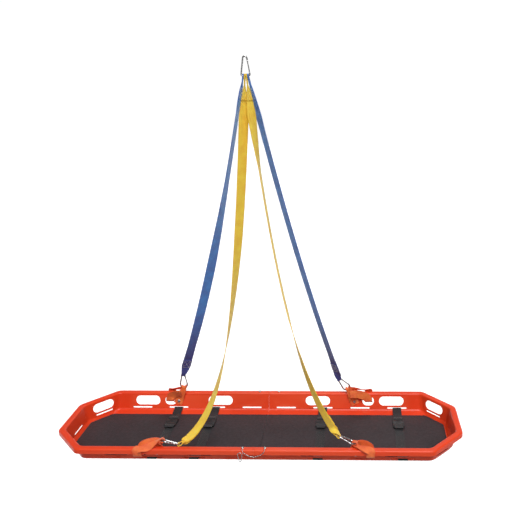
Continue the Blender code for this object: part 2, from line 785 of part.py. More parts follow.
def female_buckle(name, x, mouth):
    z = buckle_height()
    bm = bmesh.new()
    box(bm, (0, FEMALE_LENGTH / 2, 0), (BUCKLE_WIDTH, FEMALE_LENGTH, BUCKLE_THICK))
    obj = add_bmesh(name, bm, BLACK_PLASTIC)
    obj.location = (x, mouth, z)
    room = BUCKLE_THICK - 2 * BUCKLE_WALL
    bar_slot = FEMALE_LENGTH - BAR - BAR_SLOT / 2
    deep = bar_slot - BAR_SLOT / 2 - BUCKLE_WALL
    inside = BUCKLE_WIDTH - 2 * BUCKLE_WALL
    cuts = bmesh.new()
    box(cuts, (x, mouth + deep / 2 - 0.001, z), (inside, deep + 0.002, room))
    tool = cutter(name + "_mouth", cuts)
    boolean(obj, tool)
    cuts = bmesh.new()
    box(cuts, (x, mouth + bar_slot, z), (WEBBING + 0.002, BAR_SLOT, 2 * BUCKLE_THICK))
    boolean(obj, cutter(name + "_bar_slot", cuts))
    cuts = bmesh.new()
    window = PRONG_LENGTH - 0.008
    box(cuts, (x, mouth + 0.006 + window / 2, z), (BUCKLE_WIDTH + 0.01, window, room))
    boolean(obj, cutter(name + "_windows", cuts))


def male_buckle(name, x, mouth):
    z = buckle_height()
    room = BUCKLE_THICK - 2 * BUCKLE_WALL
    bm = bmesh.new()
    box(bm, (0, -GAP - MALE_LENGTH / 2, 0), (BUCKLE_WIDTH, MALE_LENGTH, BUCKLE_THICK))
    obj = add_bmesh(name, bm, BLACK_PLASTIC)
    obj.location = (x, mouth, z)
    tongue = bmesh.new()
    box(tongue, (x, mouth + 0.010, z), (0.012, 0.030, room - 2 * HOLE_PLAY))
    boolean(obj, cutter(name + "_tongue", tongue), "UNION")
    cuts = bmesh.new()
    slot = -GAP - MALE_LENGTH + BAR + BAR_SLOT / 2
    box(cuts, (x, mouth + slot, z), (WEBBING + 0.002, BAR_SLOT, 2 * BUCKLE_THICK))
    boolean(obj, cutter(name + "_bar_slot", cuts))


def prong(name, x, mouth, hand):
    """One side arm of the male half, with the button that shows in the side window."""
    z = buckle_height()
    room = BUCKLE_THICK - 2 * BUCKLE_WALL - 2 * HOLE_PLAY
    inside = BUCKLE_WIDTH / 2 - BUCKLE_WALL - HOLE_PLAY
    arm = inside - PRONG_WIDTH / 2
    bm = bmesh.new()
    box(bm, (0, 0, 0), (PRONG_WIDTH, PRONG_LENGTH, room))
    obj = add_bmesh(name, bm, BLACK_PLASTIC)
    obj.location = (x + hand * arm, mouth + PRONG_LENGTH / 2 + GAP, z)
    button = bmesh.new()
    reach = BUCKLE_WALL + HOLE_PLAY + 0.001
    length = PRONG_LENGTH - 0.010
    centre = (x + hand * (inside + reach / 2 - 0.001), mouth + 0.007 + length / 2, z)
    box(button, centre, (reach + 0.002, length, room))
    boolean(obj, cutter(name + "_button", button), "UNION")


def restraint(name, x):
    mouth = BUCKLE_Y - FEMALE_LENGTH / 2
    female_buckle(name + "_buckle_female", x, mouth)
    male_buckle(name + "_buckle_male", x, mouth)
    prong(name + "_prong_left", x, mouth, -1)
    prong(name + "_prong_right", x, mouth, 1)
    strap_half(name + "_strap_far", x, 1, mouth + FEMALE_LENGTH - BAR / 2)
    strap_half(name + "_strap_near", x, -1, mouth - GAP - MALE_LENGTH + BAR / 2)


# Sling

def rim_point(x, y, z):
    return Vector((x, y, RIM + z))


# Wide end, narrow end and across direction of each carabiner, from the rim's top
LIFT_POINTS = {
    "head_far": (-1, 1, (-0.505, -0.038, 0.039), (-0.500, -0.048, 0.126), (1, 0, 0.06), -1),
    "foot_far": (1, 1, (0.471, -0.035, 0.030), (0.418, -0.047, 0.100), (1, 0, 0.6), -1),
    "head_near": (-1, -1, (-0.470, -0.035, 0.032), (-0.396, -0.046, 0.004),
                  (0.25, -0.91, 0.33), 1),
    "foot_near": (1, -1, (0.509, -0.040, 0.018), (0.432, -0.046, 0.055),
                  (-0.20, -0.95, 0.25), 1),
}

# Colour, slack, seat on the link's bar in eye pitches, and how the width turns from foot
# to top
LEGS = {
    "head_far": (BLUE_WEB, 0.0026, -1.5,
                 ((0, 10), (0.12, 36), (0.4, 44), (0.7, 66), (0.9, 82), (0.95, 60), (1, 0))),
    "foot_far": (BLUE_WEB, 0.0010, 1.5,
                 ((0, -30), (0.1, -48), (0.85, -52), (0.95, -40), (1, 0))),
    "head_near": (YELLOW_WEB, 0.062, -0.5,
                  ((0, 150), (0.12, 130), (0.32, 90), (0.6, 45), (0.85, 35), (0.94, 30), (1, 0))),
    "foot_near": (YELLOW_WEB, 0.028, 0.5,
                  ((0, 150), (0.1, 138), (0.22, 118), (0.38, 92), (0.68, 90), (0.80, 55), (0.92, 30), (1, 0))),
}


def build_basket():
    shell("head_shell", -1)
    shell("foot_shell", 1)
    mat("head_mat", -1)
    mat("foot_mat", 1)
    for place, side in (("far", 1), ("near", -1)):
        sleeve("sleeve_" + place, side)
        pin("sleeve_bolt_" + place, -PIN_X, side)
        pin("lock_pin_" + place, PIN_X, side)


def build_tether():
    """The chain hangs outside the near rim from the sleeve bolt to the lock pin."""
    out = -HALF_WIDTH - CHAIN_RADIUS - GAP - 0.0005
    start = -SLEEVE_Y - PIN_HEAD_RADIUS - 2 * GAP
    over = -HALF_WIDTH + LIP_ROUND * 0.25
    points = [
        rim_point(-PIN_X, start, CHAIN_RADIUS + GAP),
        rim_point(-PIN_X, over, CHAIN_RADIUS + 0.0010),
        rim_point(-PIN_X * 0.92, out, -0.010),
        rim_point(-PIN_X * 0.55, out, -CHAIN_DROP * 0.75),
        rim_point(0, out, -CHAIN_DROP),
        rim_point(PIN_X * 0.55, out, -CHAIN_DROP * 0.75),
        rim_point(PIN_X * 0.92, out, -0.010),
        rim_point(PIN_X, over, CHAIN_RADIUS + 0.0010),
        rim_point(PIN_X, start, CHAIN_RADIUS + GAP),
    ]
    wire("tether_chain", catmull(points, 33), CHAIN_RADIUS, STEEL)
    size = (HOOK_LENGTH, HOOK_WIDTH, HOOK_NARROW, HOOK_WIRE, 0)
    top = rim_point(HOOK_X, out - CHAIN_RADIUS - HOOK_WIRE - GAP, -HOOK_DROP)
    bottom = top - Vector((0, 0, HOOK_LENGTH - 2 * HOOK_WIRE))
    carabiner("snap_hook", top, bottom, Vector((1, 0, 0)), size)


def build_sling():
    size = (CARABINER_LENGTH, CARABINER_WIDTH, CARABINER_NARROW, CARABINER_WIRE, 0)
    pitch = EYE_WIDTH + EYE_GAP
    bar = 2 * pitch
    apex = rim_point(0, 0, APEX_RISE)
    tip = apex + Vector((0, 0, CARABINER_LENGTH - 2 * CARABINER_WIRE))
    carabiner("hoist_link", apex, tip, Vector((1, 0, 0)), size[:4] + (bar,))
    for place, (sign, side, wide, slim, across, inner) in LIFT_POINTS.items():
        wide_end = rim_point(wide[0], side * (HALF_WIDTH + wide[1]), wide[2])
        slim_end = rim_point(slim[0], side * (HALF_WIDTH + slim[1]), slim[2])
        u, v, normal = frame_of(wide_end, slim_end, Vector(across))
        slim_end = wide_end + u * (CARABINER_LENGTH - 2 * CARABINER_WIRE)
        carabiner("carabiner_" + place, wide_end, slim_end, v, size)
        lift_strap("lift_strap_" + place, sign, side, wide_end, u, v, normal, inner)
        anchor_bolt("anchor_bolt_" + place, sign, side)
        finish, slack, seat, turns = LEGS[place]
        top = apex + Vector((seat * pitch, 0, 0))
        length = (top - slim_end).length + slack
        leg("sling_leg_" + place, slim_end, u, v, top, Vector((0, 0, -1)), Vector((1, 0, 0)),
            length, turns, finish)


clear_scene()
PARTS = new_collection("rescue_stretcher")
CUTTERS = new_collection("cutters")
build_basket()
build_tether()
build_sling()
for strap_name, strap_x in STRAP_X.items():
    restraint(strap_name, strap_x)
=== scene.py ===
"""Looks of the two-piece basket stretcher and its sling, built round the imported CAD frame.

Metres, in the frame's own axes: +X from head to feet, +Y to the far side, +Z up. Heights in the
basket are drops from its rim, and widths are insets from the rim's outer edge.
"""
import math

import bmesh
import bpy
from mathutils import Matrix, Vector

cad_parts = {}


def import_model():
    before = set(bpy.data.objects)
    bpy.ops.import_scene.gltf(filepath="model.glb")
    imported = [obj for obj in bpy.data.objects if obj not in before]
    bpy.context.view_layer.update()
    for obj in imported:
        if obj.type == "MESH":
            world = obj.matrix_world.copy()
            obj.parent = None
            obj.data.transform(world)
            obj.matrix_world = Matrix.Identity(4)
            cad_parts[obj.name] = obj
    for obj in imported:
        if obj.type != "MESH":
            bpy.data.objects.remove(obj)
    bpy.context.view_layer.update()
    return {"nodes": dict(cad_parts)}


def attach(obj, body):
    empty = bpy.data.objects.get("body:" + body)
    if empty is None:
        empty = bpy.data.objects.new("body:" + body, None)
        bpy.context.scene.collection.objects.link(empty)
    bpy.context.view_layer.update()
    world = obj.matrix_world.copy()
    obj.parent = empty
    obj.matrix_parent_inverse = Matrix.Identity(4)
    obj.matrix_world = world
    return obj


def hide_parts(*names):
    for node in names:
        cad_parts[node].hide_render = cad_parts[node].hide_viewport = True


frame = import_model()

# Camera: place, tilt and lens of the photograph's viewpoint
CAMERA_PLACE = (0.5246, -3.0192, 1.9143)
CAMERA_DOWN = 0.2716
CAMERA_YAW = 0.0298
CAMERA_ROLL = -0.0104
CAMERA_LENS = 42.60
CAMERA_SHIFT = (-0.1501, -0.0209)

# Key and back lights
KEY_STRENGTH = 2.9
KEY_ANGLE = 0.7
KEY_TILT = (math.radians(34), math.radians(9), 0)
BACK_POWER = 40

# Surround: its glow at the horizon and overhead, the heights between which it fades, and how
# far it dims from back to front
HORIZON_GLOW = 1.02
OVERHEAD_GLOW = 0.16
SKY_FADE = (0.10, 0.34)
FRONT_FADE = (-0.35, 0.30)
FRONT_GLOW = 0.30

# Floor that the hoisted basket hangs over, pale behind it and darker in front
FLOOR_Z = -2.4
FLOOR_SIZE = 40.0
FLOOR_GLOW = 0.42
FLOOR_FADE = (0.0, 2.4)
FLOOR_FRONT = (0.42, 0.42, 0.42)

# Basket, as in the CAD
RIM = 0.115
HALF_WIDTH = 0.31
HALF_LENGTH = 1.08
END_HALF = 0.1335
STRAIGHT_HALF = 0.911
CORNER_RADIUS = 0.045
SHELL_WALL = 0.004
LIP_DROP = 0.028
LIP_WIDTH = 0.036
LIP_ROUND = 0.010
FOOT_INSET = 0.062
FOOT_CORNER_INSET = 0.048
FOOT_DROP = 0.092
FLOOR_INSET = 0.100
FLOOR_CORNER_INSET = 0.061
HAND_HOLE_X = (0.290, 0.7245)
HAND_HOLE = (0.145, 0.052)
HOLE_DROP = 0.043
CORNER_HOLE = 0.125
STRAP_HOLE_X = 0.588
STRAP_HOLE = 0.068
SLOT_X = (0.102, 0.320, 0.540, 0.757)
SLOT = (0.114, 0.009)
CORNER_SLOT = 0.100
SLOT_DROP = 0.082
SEAM = 0.0006
MAT_TOP = 0.0163

GAP = 0.0003
PIN_X = 0.057
PIN_HEAD_RADIUS = 0.007
SLEEVE_Y = 0.292
BOLT_X = {(-1, 1): 0.540, (1, 1): 0.507, (-1, -1): 0.507, (1, -1): 0.515}
BOLT_DROP = 0.047
BOLT_BORE = 0.0044
PIN_BORE = 0.0034
WEBBING = 0.050
WEBBING_THICK = 0.0026
STRAP_THICK = 0.0018
EYE_WIDTH = 0.0064
EYE_GAP = 0.0012
EYE_PLAY = 0.0024
EYE = 0.055
SEWN = 0.060
LEG_THREAD = 0.0020
OPENING_OUT = 0.15
LINK = (0.096, 0.050, 0.028, 0.0042)
HOOK = (0.054, 0.026, 0.014, 0.0018)
WIRE_CLEAR = LINK[3] + EYE_PLAY + WEBBING_THICK / 2
APEX = RIM + 1.815
WALL_SLOPE = math.atan((FOOT_INSET - LIP_WIDTH) / (FOOT_DROP - LIP_ROUND))


# Small helpers

def link_object(name, data, finish=None):
    obj = bpy.data.objects.new(name, data)
    bpy.context.scene.collection.objects.link(obj)
    if finish is not None:
        obj.data.materials.append(finish)
    return obj


def mesh_object(name, bm, finish):
    mesh = bpy.data.meshes.new(name)
    bm.to_mesh(mesh)
    bm.free()
    return link_object(name, mesh, finish)


def apply_modifiers(obj):
    """Bakes the modifiers, so what rides on the body is the final mesh."""
    depsgraph = bpy.context.evaluated_depsgraph_get()
    mesh = bpy.data.meshes.new_from_object(obj.evaluated_get(depsgraph), depsgraph=depsgraph)
    obj.modifiers.clear()
    obj.data = mesh
    return obj


def drop(obj):
    bpy.data.objects.remove(obj, do_unlink=True)


def smooth(obj, degrees=35):
    obj.data.shade_smooth()
    obj.data.set_sharp_from_angle(angle=math.radians(degrees))


def catmull(points, count):
    points = [Vector(p) for p in points]
    padded = [2 * points[0] - points[1]] + points + [2 * points[-1] - points[-2]]
    spans = len(points) - 1
    curve = []
    for step in range(count):
        place = step / (count - 1) * spans
        span = min(int(place), spans - 1)
        t = place - span
        a, b, c, d = padded[span:span + 4]
        curve.append(0.5 * (2 * b + (c - a) * t + (2 * a - 5 * b + 4 * c - d) * t * t
                            + (3 * b - a - 3 * c + d) * t ** 3))
    return curve


# Materials

class Nodes:
    """Builds one procedural material around a Principled BSDF."""

    def __init__(self, name, colour, roughness, metallic=0.0):
        self.material = bpy.data.materials.new(name)
        self.material.use_nodes = True
        self.tree = self.material.node_tree
        self.shader = self.tree.nodes["Principled BSDF"]
        self.set(self.shader, "Base Color", (*colour, 1.0))
        self.set(self.shader, "Roughness", roughness)
        self.set(self.shader, "Metallic", metallic)

    def set(self, node, socket, value):
        if isinstance(value, bpy.types.NodeSocket):
            self.tree.links.new(value, node.inputs[socket])
        else:
            node.inputs[socket].default_value = value

    def node(self, kind, output=0, settings=(), **inputs):
        made = self.tree.nodes.new(kind)
        for key, value in dict(settings).items():
            setattr(made, key, value)
        for key, value in inputs.items():
            name = int(key[1:]) if key[0] == "i" and key[1:].isdigit() else key.replace("_", " ")
            self.set(made, name, value)
        return made.outputs[output]

    def coordinates(self, kind="Object"):
        return self.node("ShaderNodeTexCoord", kind)

    def math(self, operation, a, b=0.0):
        return self.node("ShaderNodeMath", 0, {"operation": operation}, i0=a, i1=b)

    def noise(self, scale, detail=2.0, where=None, stretch=(1, 1, 1)):
        place = self.node("ShaderNodeMapping", 0, Vector=where or self.coordinates(),
                          Scale=stretch)
        return self.node("ShaderNodeTexNoise", 0, Vector=place, Scale=scale, Detail=detail)

    def ramp(self, value, low, high, start, end):
        return self.node("ShaderNodeMapRange", 0, Value=value, i1=low, i2=high, i3=start, i4=end)

    def mix(self, factor, a, b):
        made = self.tree.nodes.new("ShaderNodeMix")
        made.data_type = "RGBA"
        self.set(made, 0, factor)
        self.set(made, 6, (*a, 1.0) if isinstance(a, tuple) else a)
        self.set(made, 7, (*b, 1.0) if isinstance(b, tuple) else b)
        return made.outputs[2]

    def bump(self, height, strength, distance):
        normal = self.node("ShaderNodeBump", 0, Height=height, Strength=strength,
                           Distance=distance)
        self.set(self.shader, "Normal", normal)


def moulded_shell():
    n = Nodes("moulded_shell", (0.78, 0.050, 0.010), 0.40)
    cloud = n.noise(3.0, 3.0)
    fade = n.mix(n.ramp(cloud, 0.35, 0.65, 0.0, 1.0), (0.76, 0.044, 0.009), (0.83, 0.060, 0.014))
    edge = n.node("ShaderNodeNewGeometry", "Pointiness")
    worn = n.ramp(edge, 0.52, 0.60, 0.0, 0.45)
    colour = n.mix(worn, fade, (0.95, 0.20, 0.085))
    scratch = n.noise(34.0, 6.0, stretch=(0.25, 1.0, 1.0))
    n.set(n.shader, "Base Color", n.mix(n.ramp(scratch, 0.66, 0.74, 0.0, 0.22), colour,
                                        (0.93, 0.26, 0.13)))
    n.set(n.shader, "Roughness", n.ramp(n.noise(9.0, 4.0), 0.3, 0.7, 0.30, 0.44))
    n.set(n.shader, "Specular IOR Level", 0.28)
    n.set(n.shader, "Coat Weight", 0.10)
    n.set(n.shader, "Coat Roughness", 0.20)
    grain = n.noise(900.0, 2.0)
    waves = n.math("MULTIPLY", n.noise(14.0, 2.0), 6.0)
    n.bump(n.math("ADD", grain, waves), 0.12, 0.0006)
    return n.material


def foam_cover():
    n = Nodes("foam_cover", (0.026, 0.017, 0.020), 0.62)
    cloud = n.noise(5.0, 3.0)
    n.set(n.shader, "Base Color", n.mix(n.ramp(cloud, 0.3, 0.7, 0.0, 1.0),
                                        (0.023, 0.015, 0.018), (0.034, 0.023, 0.027)))
    n.set(n.shader, "Roughness", n.ramp(n.noise(60.0, 3.0), 0.3, 0.7, 0.52, 0.70))
    place = n.coordinates()
    cells = n.node("ShaderNodeTexVoronoi", "Distance", {"feature": "DISTANCE_TO_EDGE"},
                   Vector=place, Scale=420.0)
    n.bump(n.math("ADD", n.ramp(cells, 0.0, 0.12, 0.0, 1.0),
                  n.math("MULTIPLY", n.noise(18.0), 2.0)), 0.25, 0.0005)
    n.set(n.shader, "Sheen Weight", 0.08)
    n.set(n.shader, "Specular IOR Level", 0.35)
    return n.material


def webbing_material(name, colour, shade, accent, sheen=0.2, edge_stripe=0.55, foot_tint=None):
    """Woven webbing. Its UVs are metres across and along the strap. The foot tint is a darker colour
    towards the lower end of a sling leg."""
    n = Nodes(name, colour, 0.62)
    uv = n.node("ShaderNodeSeparateXYZ", "X", Vector=n.coordinates("UV"))
    uv_node = uv.node
    across = uv_node.outputs["X"]
    along = uv_node.outputs["Y"]
    turn = 2 * math.pi
    rib = n.math("SINE", n.math("MULTIPLY", across, turn / 0.0018))
    pick = n.math("SINE", n.math("MULTIPLY", along, turn / 0.0022))
    twill = n.math("SINE", n.math("ADD", n.math("MULTIPLY", along, turn / 0.0044),
                                  n.math("MULTIPLY", n.math("ABSOLUTE", across), turn / 0.0050)))
    weave = n.math("ADD", n.math("MULTIPLY", rib, pick), twill)
    cloud = n.noise(26.0, 3.0)
    base = n.mix(n.ramp(cloud, 0.32, 0.68, 0.0, 1.0), colour, shade)
    threads = n.mix(n.ramp(weave, -1.6, 1.6, 0.0, 0.35), base, accent)
    edge = n.ramp(n.math("ABSOLUTE", across), 0.0215, 0.0235, 0.0, edge_stripe)
    woven = n.mix(edge, threads, shade)
    if foot_tint is not None:
        woven = n.mix(n.ramp(along, 0.26, 0.62, 0.85, 0.0), woven, foot_tint)
    n.set(n.shader, "Base Color", woven)
    n.set(n.shader, "Sheen Weight", sheen)
    n.set(n.shader, "Sheen Roughness", 0.4)
    n.set(n.shader, "Roughness", n.ramp(weave, -1.5, 1.5, 0.66, 0.52))
    n.bump(n.math("ADD", weave, n.math("MULTIPLY", n.noise(90.0), 1.5)), 0.5, 0.0003)
    return n.material


def thread_material(name, colour):
    n = Nodes(name, colour, 0.55)
    n.set(n.shader, "Base Color", n.mix(n.noise(300.0), colour, tuple(c * 0.72 for c in colour)))
    n.set(n.shader, "Sheen Weight", 0.3)
    n.bump(n.noise(1500.0, 1.0), 0.3, 0.0002)
    return n.material


def zinc_steel(name="zinc_steel", tone=0.56, roughness=0.24):
    n = Nodes(name, (tone, tone, tone * 1.02), roughness, 1.0)
    cloud = n.noise(40.0, 4.0)
    n.set(n.shader, "Base Color", n.mix(n.ramp(cloud, 0.3, 0.7, 0.0, 1.0),
                                        (tone * 0.82,) * 3, (tone * 1.25,) * 3))
    n.set(n.shader, "Roughness", n.ramp(n.noise(120.0, 3.0), 0.3, 0.7,
                                        roughness * 0.75, roughness * 1.5))
    n.bump(n.noise(700.0, 3.0, stretch=(1, 1, 0.12)), 0.10, 0.0002)
    return n.material


def moulded_black():
    n = Nodes("moulded_black", (0.016, 0.016, 0.018), 0.42)
    n.set(n.shader, "Base Color", n.mix(n.noise(30.0, 3.0), (0.013, 0.013, 0.014),
                                        (0.024, 0.023, 0.025)))
    n.set(n.shader, "Roughness", n.ramp(n.noise(80.0, 3.0), 0.3, 0.7, 0.34, 0.52))
    n.bump(n.noise(1600.0, 2.0), 0.18, 0.0003)
    return n.material


def pale_backdrop():
    n = Nodes("pale_backdrop", (0.9, 0.9, 0.9), 0.9)
    split = n.node("ShaderNodeSeparateXYZ", "Y", Vector=n.coordinates())
    back = n.ramp(split, *FLOOR_FADE, 0.0, 1.0)
    pale = n.mix(n.noise(0.6), (0.88, 0.88, 0.88), (0.91, 0.91, 0.91))
    n.set(n.shader, "Base Color", n.mix(back, FLOOR_FRONT, pale))
    n.set(n.shader, "Emission Color", (1.0, 1.0, 1.0, 1.0))
    n.set(n.shader, "Emission Strength", n.math("MULTIPLY", back, FLOOR_GLOW))
    n.set(n.shader, "Specular IOR Level", 0.0)
    return n.material


SHELL_FINISH = moulded_shell()
MAT_FINISH = foam_cover()
BLUE = webbing_material("blue_webbing", (0.075, 0.26, 0.72), (0.075, 0.16, 0.54), (0.16, 0.42, 0.88),
                        foot_tint=(0.055, 0.035, 0.20))
YELLOW = webbing_material("yellow_webbing", (0.98, 0.70, 0.040), (0.90, 0.52, 0.018),
                          (1.0, 0.84, 0.20))
ORANGE = webbing_material("orange_webbing", (0.94, 0.185, 0.035), (0.78, 0.070, 0.014),
                          (1.0, 0.34, 0.10))
BLACK = webbing_material("black_webbing", (0.016, 0.016, 0.018), (0.010, 0.010, 0.011),
                         (0.035, 0.035, 0.038), 0.2, 0.2)
WHITE_THREAD = thread_material("white_thread", (0.90, 0.90, 0.88))
GOLD_THREAD = thread_material("gold_thread", (0.80, 0.60, 0.16))
ORANGE_THREAD = thread_material("orange_thread", (0.75, 0.14, 0.03))
BLACK_THREAD = thread_material("black_thread", (0.03, 0.03, 0.03))
STEEL = zinc_steel()
# A darker copy of the same steel: painted shade for the far sleeves
SHADED_STEEL = zinc_steel("steel_painted_shade", 0.34, 0.32)
BLACK_PLASTIC = moulded_black()


# Camera, lights and floor

def place_camera():
    data = bpy.data.cameras.new("camera")
    data.lens = CAMERA_LENS
    data.sensor_width = 36
    data.shift_x, data.shift_y = CAMERA_SHIFT
    data.clip_start = 0.05
    data.clip_end = 60
    camera = link_object("camera", data)
    camera.matrix_world = (
        Matrix.Translation(CAMERA_PLACE)
        @ Matrix.Rotation(CAMERA_YAW, 4, "Z")
        @ Matrix.Rotation(math.pi / 2 - CAMERA_DOWN, 4, "X")
        @ Matrix.Rotation(CAMERA_ROLL, 4, "Z"))
    bpy.context.scene.camera = camera


def area_light(name, place, aim, size, power, colour=(1, 1, 1)):
    data = bpy.data.lights.new(name, "AREA")
    data.shape = "RECTANGLE"
    data.size, data.size_y = size
    data.energy = power
    data.color = colour
    light = link_object(name, data)
    light.location = place
    light.rotation_euler = (Vector(place) - Vector(aim)).to_track_quat("Z", "Y").to_euler()


def sun_light(name, tilt, angle, strength):
    data = bpy.data.lights.new(name, "SUN")
    data.angle = angle
    data.energy = strength
    light = link_object(name, data)
    light.rotation_euler = tilt


def light_studio():
    """Soft key from the front and above. The surround is white at the back, dim in front."""
    scene = bpy.context.scene
    scene.view_settings.view_transform = "Standard"
    scene.view_settings.look = "None"
    world = bpy.data.worlds.new("studio")
    world.use_nodes = True
    tree = world.node_tree
    background = tree.nodes["Background"]
    place = tree.nodes.new("ShaderNodeTexCoord")
    split = tree.nodes.new("ShaderNodeSeparateXYZ")
    product = tree.nodes.new("ShaderNodeMath")
    product.operation = "MULTIPLY"
    fades = (("Z", SKY_FADE, HORIZON_GLOW, OVERHEAD_GLOW), ("Y", FRONT_FADE, FRONT_GLOW, 1.0))
    for slot, (axis, (low, high), start, end) in enumerate(fades):
        fade = tree.nodes.new("ShaderNodeMapRange")
        fade.interpolation_type = "SMOOTHSTEP"
        fade.inputs["From Min"].default_value = low
        fade.inputs["From Max"].default_value = high
        fade.inputs["To Min"].default_value = start
        fade.inputs["To Max"].default_value = end
        tree.links.new(split.outputs[axis], fade.inputs["Value"])
        tree.links.new(fade.outputs["Result"], product.inputs[slot])
    tree.links.new(place.outputs["Generated"], split.inputs["Vector"])
    tree.links.new(product.outputs["Value"], background.inputs["Strength"])
    background.inputs["Color"].default_value = (1.0, 1.0, 1.0, 1.0)
    scene.world = world
    sun_light("key", KEY_TILT, KEY_ANGLE, KEY_STRENGTH)
    area_light("back", (0.6, 2.6, 3.4), (0, 0, 0), (3.2, 1.4), BACK_POWER)
    bm = bmesh.new()
    bmesh.ops.create_grid(bm, x_segments=1, y_segments=1, size=FLOOR_SIZE)
    floor = mesh_object("floor", bm, pale_backdrop())
    floor.location.z = FLOOR_Z


place_camera()
light_studio()


# Basket

def meet(normal_a, reach_a, normal_b, reach_b):
    return Matrix((normal_a, normal_b)).inverted() @ Vector((reach_a, reach_b))


def rounded(corner, before, after, radius, steps):
    into = (before - corner).normalized()
    out = (after - corner).normalized()
    half = into.angle(out) / 2
    reach = radius / math.tan(half)
    centre = corner + (into + out).normalized() * (radius / math.sin(half))
    start = corner + into * reach - centre
    end = corner + out * reach - centre
    turn = start.angle_signed(end)
    return [centre + Matrix.Rotation(-turn * step / steps, 2) @ start for step in range(steps + 1)]


def corner_normal():
    run = Vector((HALF_LENGTH - STRAIGHT_HALF, END_HALF - HALF_WIDTH))
    return Vector((-run.y, run.x)).normalized()


def half_outline(side_inset, corner_inset, start, steps=8, radius=CORNER_RADIUS):
    slant = corner_normal()
    slant_reach = slant.dot(Vector((STRAIGHT_HALF, HALF_WIDTH))) - corner_inset
    a = meet(Vector((0, 1)), HALF_WIDTH - side_inset, slant, slant_reach)
    b = meet(slant, slant_reach, Vector((1, 0)), HALF_LENGTH - corner_inset)
    first = Vector((start, a.y))
    far = [first]
    far += rounded(a, first, b, radius, steps)
    far += rounded(b, a, Vector((b.x, -b.y)), radius, steps)
    return far + [Vector((p.x, -p.y)) for p in reversed(far)]


def fillet_section(section, radii, steps=5):
    """Rounds the marked corners of a section of (side inset, corner inset, drop) points."""
    rounded_section = []
    for index, point in enumerate(section):
        radius = radii.get(index)
        if radius is None:
            rounded_section.append(point)
            continue
        here = Vector(point)
        before = Vector(section[index - 1])
        after = Vector(section[index + 1])
        start = here + (before - here).normalized() * radius
        end = here + (after - here).normalized() * radius
        for step in range(steps + 1):
            t = step / steps
            p = start * (1 - t) ** 2 + here * 2 * t * (1 - t) + end * t * t
            rounded_section.append(tuple(p))
    return rounded_section


def shell_section(arc=6):
    section = [(0.0, 0.0, LIP_DROP)]
    for step in range(arc + 1):
        angle = math.pi / 2 * step / arc
        inset = LIP_ROUND * (1 - math.cos(angle))
        section.append((inset, inset, LIP_ROUND * (1 - math.sin(angle))))
    for step in range(arc + 1):
        angle = math.pi / 2 * step / arc
        inset = LIP_WIDTH - LIP_ROUND * (1 - math.sin(angle))
        section.append((inset, inset, LIP_ROUND * (1 - math.cos(angle))))
    foot = len(section)
    section.append((FOOT_INSET, FOOT_CORNER_INSET, FOOT_DROP))
    section.append((FLOOR_INSET, FLOOR_CORNER_INSET, RIM - SHELL_WALL))
    section.append((FLOOR_INSET + 0.03, FLOOR_CORNER_INSET + 0.03, RIM - SHELL_WALL))
    return fillet_section(section, {foot: 0.009, foot + 1: 0.006})


def stadium(bm, centre, along, through, length, height, depth, steps=14):
    along = Vector(along).normalized()
    through = Vector(through).normalized()
    up = through.cross(along)
    radius = height / 2
    outline = []
    for side, first in ((1, -90), (-1, 90)):
        for step in range(steps + 1):
            angle = math.radians(first + 180 * step / steps)
            offset = along * (side * (length / 2 - radius) + radius * math.cos(angle))
            outline.append(Vector(centre) + offset + up * (radius * math.sin(angle)))
    start = [bm.verts.new(point - through * depth / 2) for point in outline]
    end = [bm.verts.new(point + through * depth / 2) for point in outline]
    bm.faces.new(start)
    bm.faces.new(reversed(end))
    for index in range(len(outline)):
        after = (index + 1) % len(outline)
        bm.faces.new((start[index], end[index], end[after], start[after]))
    bmesh.ops.recalc_face_normals(bm, faces=bm.faces)


def cylinder(bm, centre, axis, radius, length, segments=24):
    turn = Vector((0, 0, 1)).rotation_difference(Vector(axis)).to_matrix().to_4x4()
    bmesh.ops.create_cone(bm, cap_ends=True, segments=segments, radius1=radius, radius2=radius,
                          depth=length, matrix=Matrix.Translation(centre) @ turn)


def wall_inset(drop):
    return LIP_WIDTH + (drop - LIP_ROUND) / (FOOT_DROP - LIP_ROUND) * (FOOT_INSET - LIP_WIDTH)


def wall_inside(drop):
    return HALF_WIDTH - wall_inset(drop)


def wall_outside(drop):
    return wall_inside(drop) + SHELL_WALL / math.cos(WALL_SLOPE)


def wall_normal(side):
    return Vector((0, -side * math.cos(WALL_SLOPE), math.sin(WALL_SLOPE)))


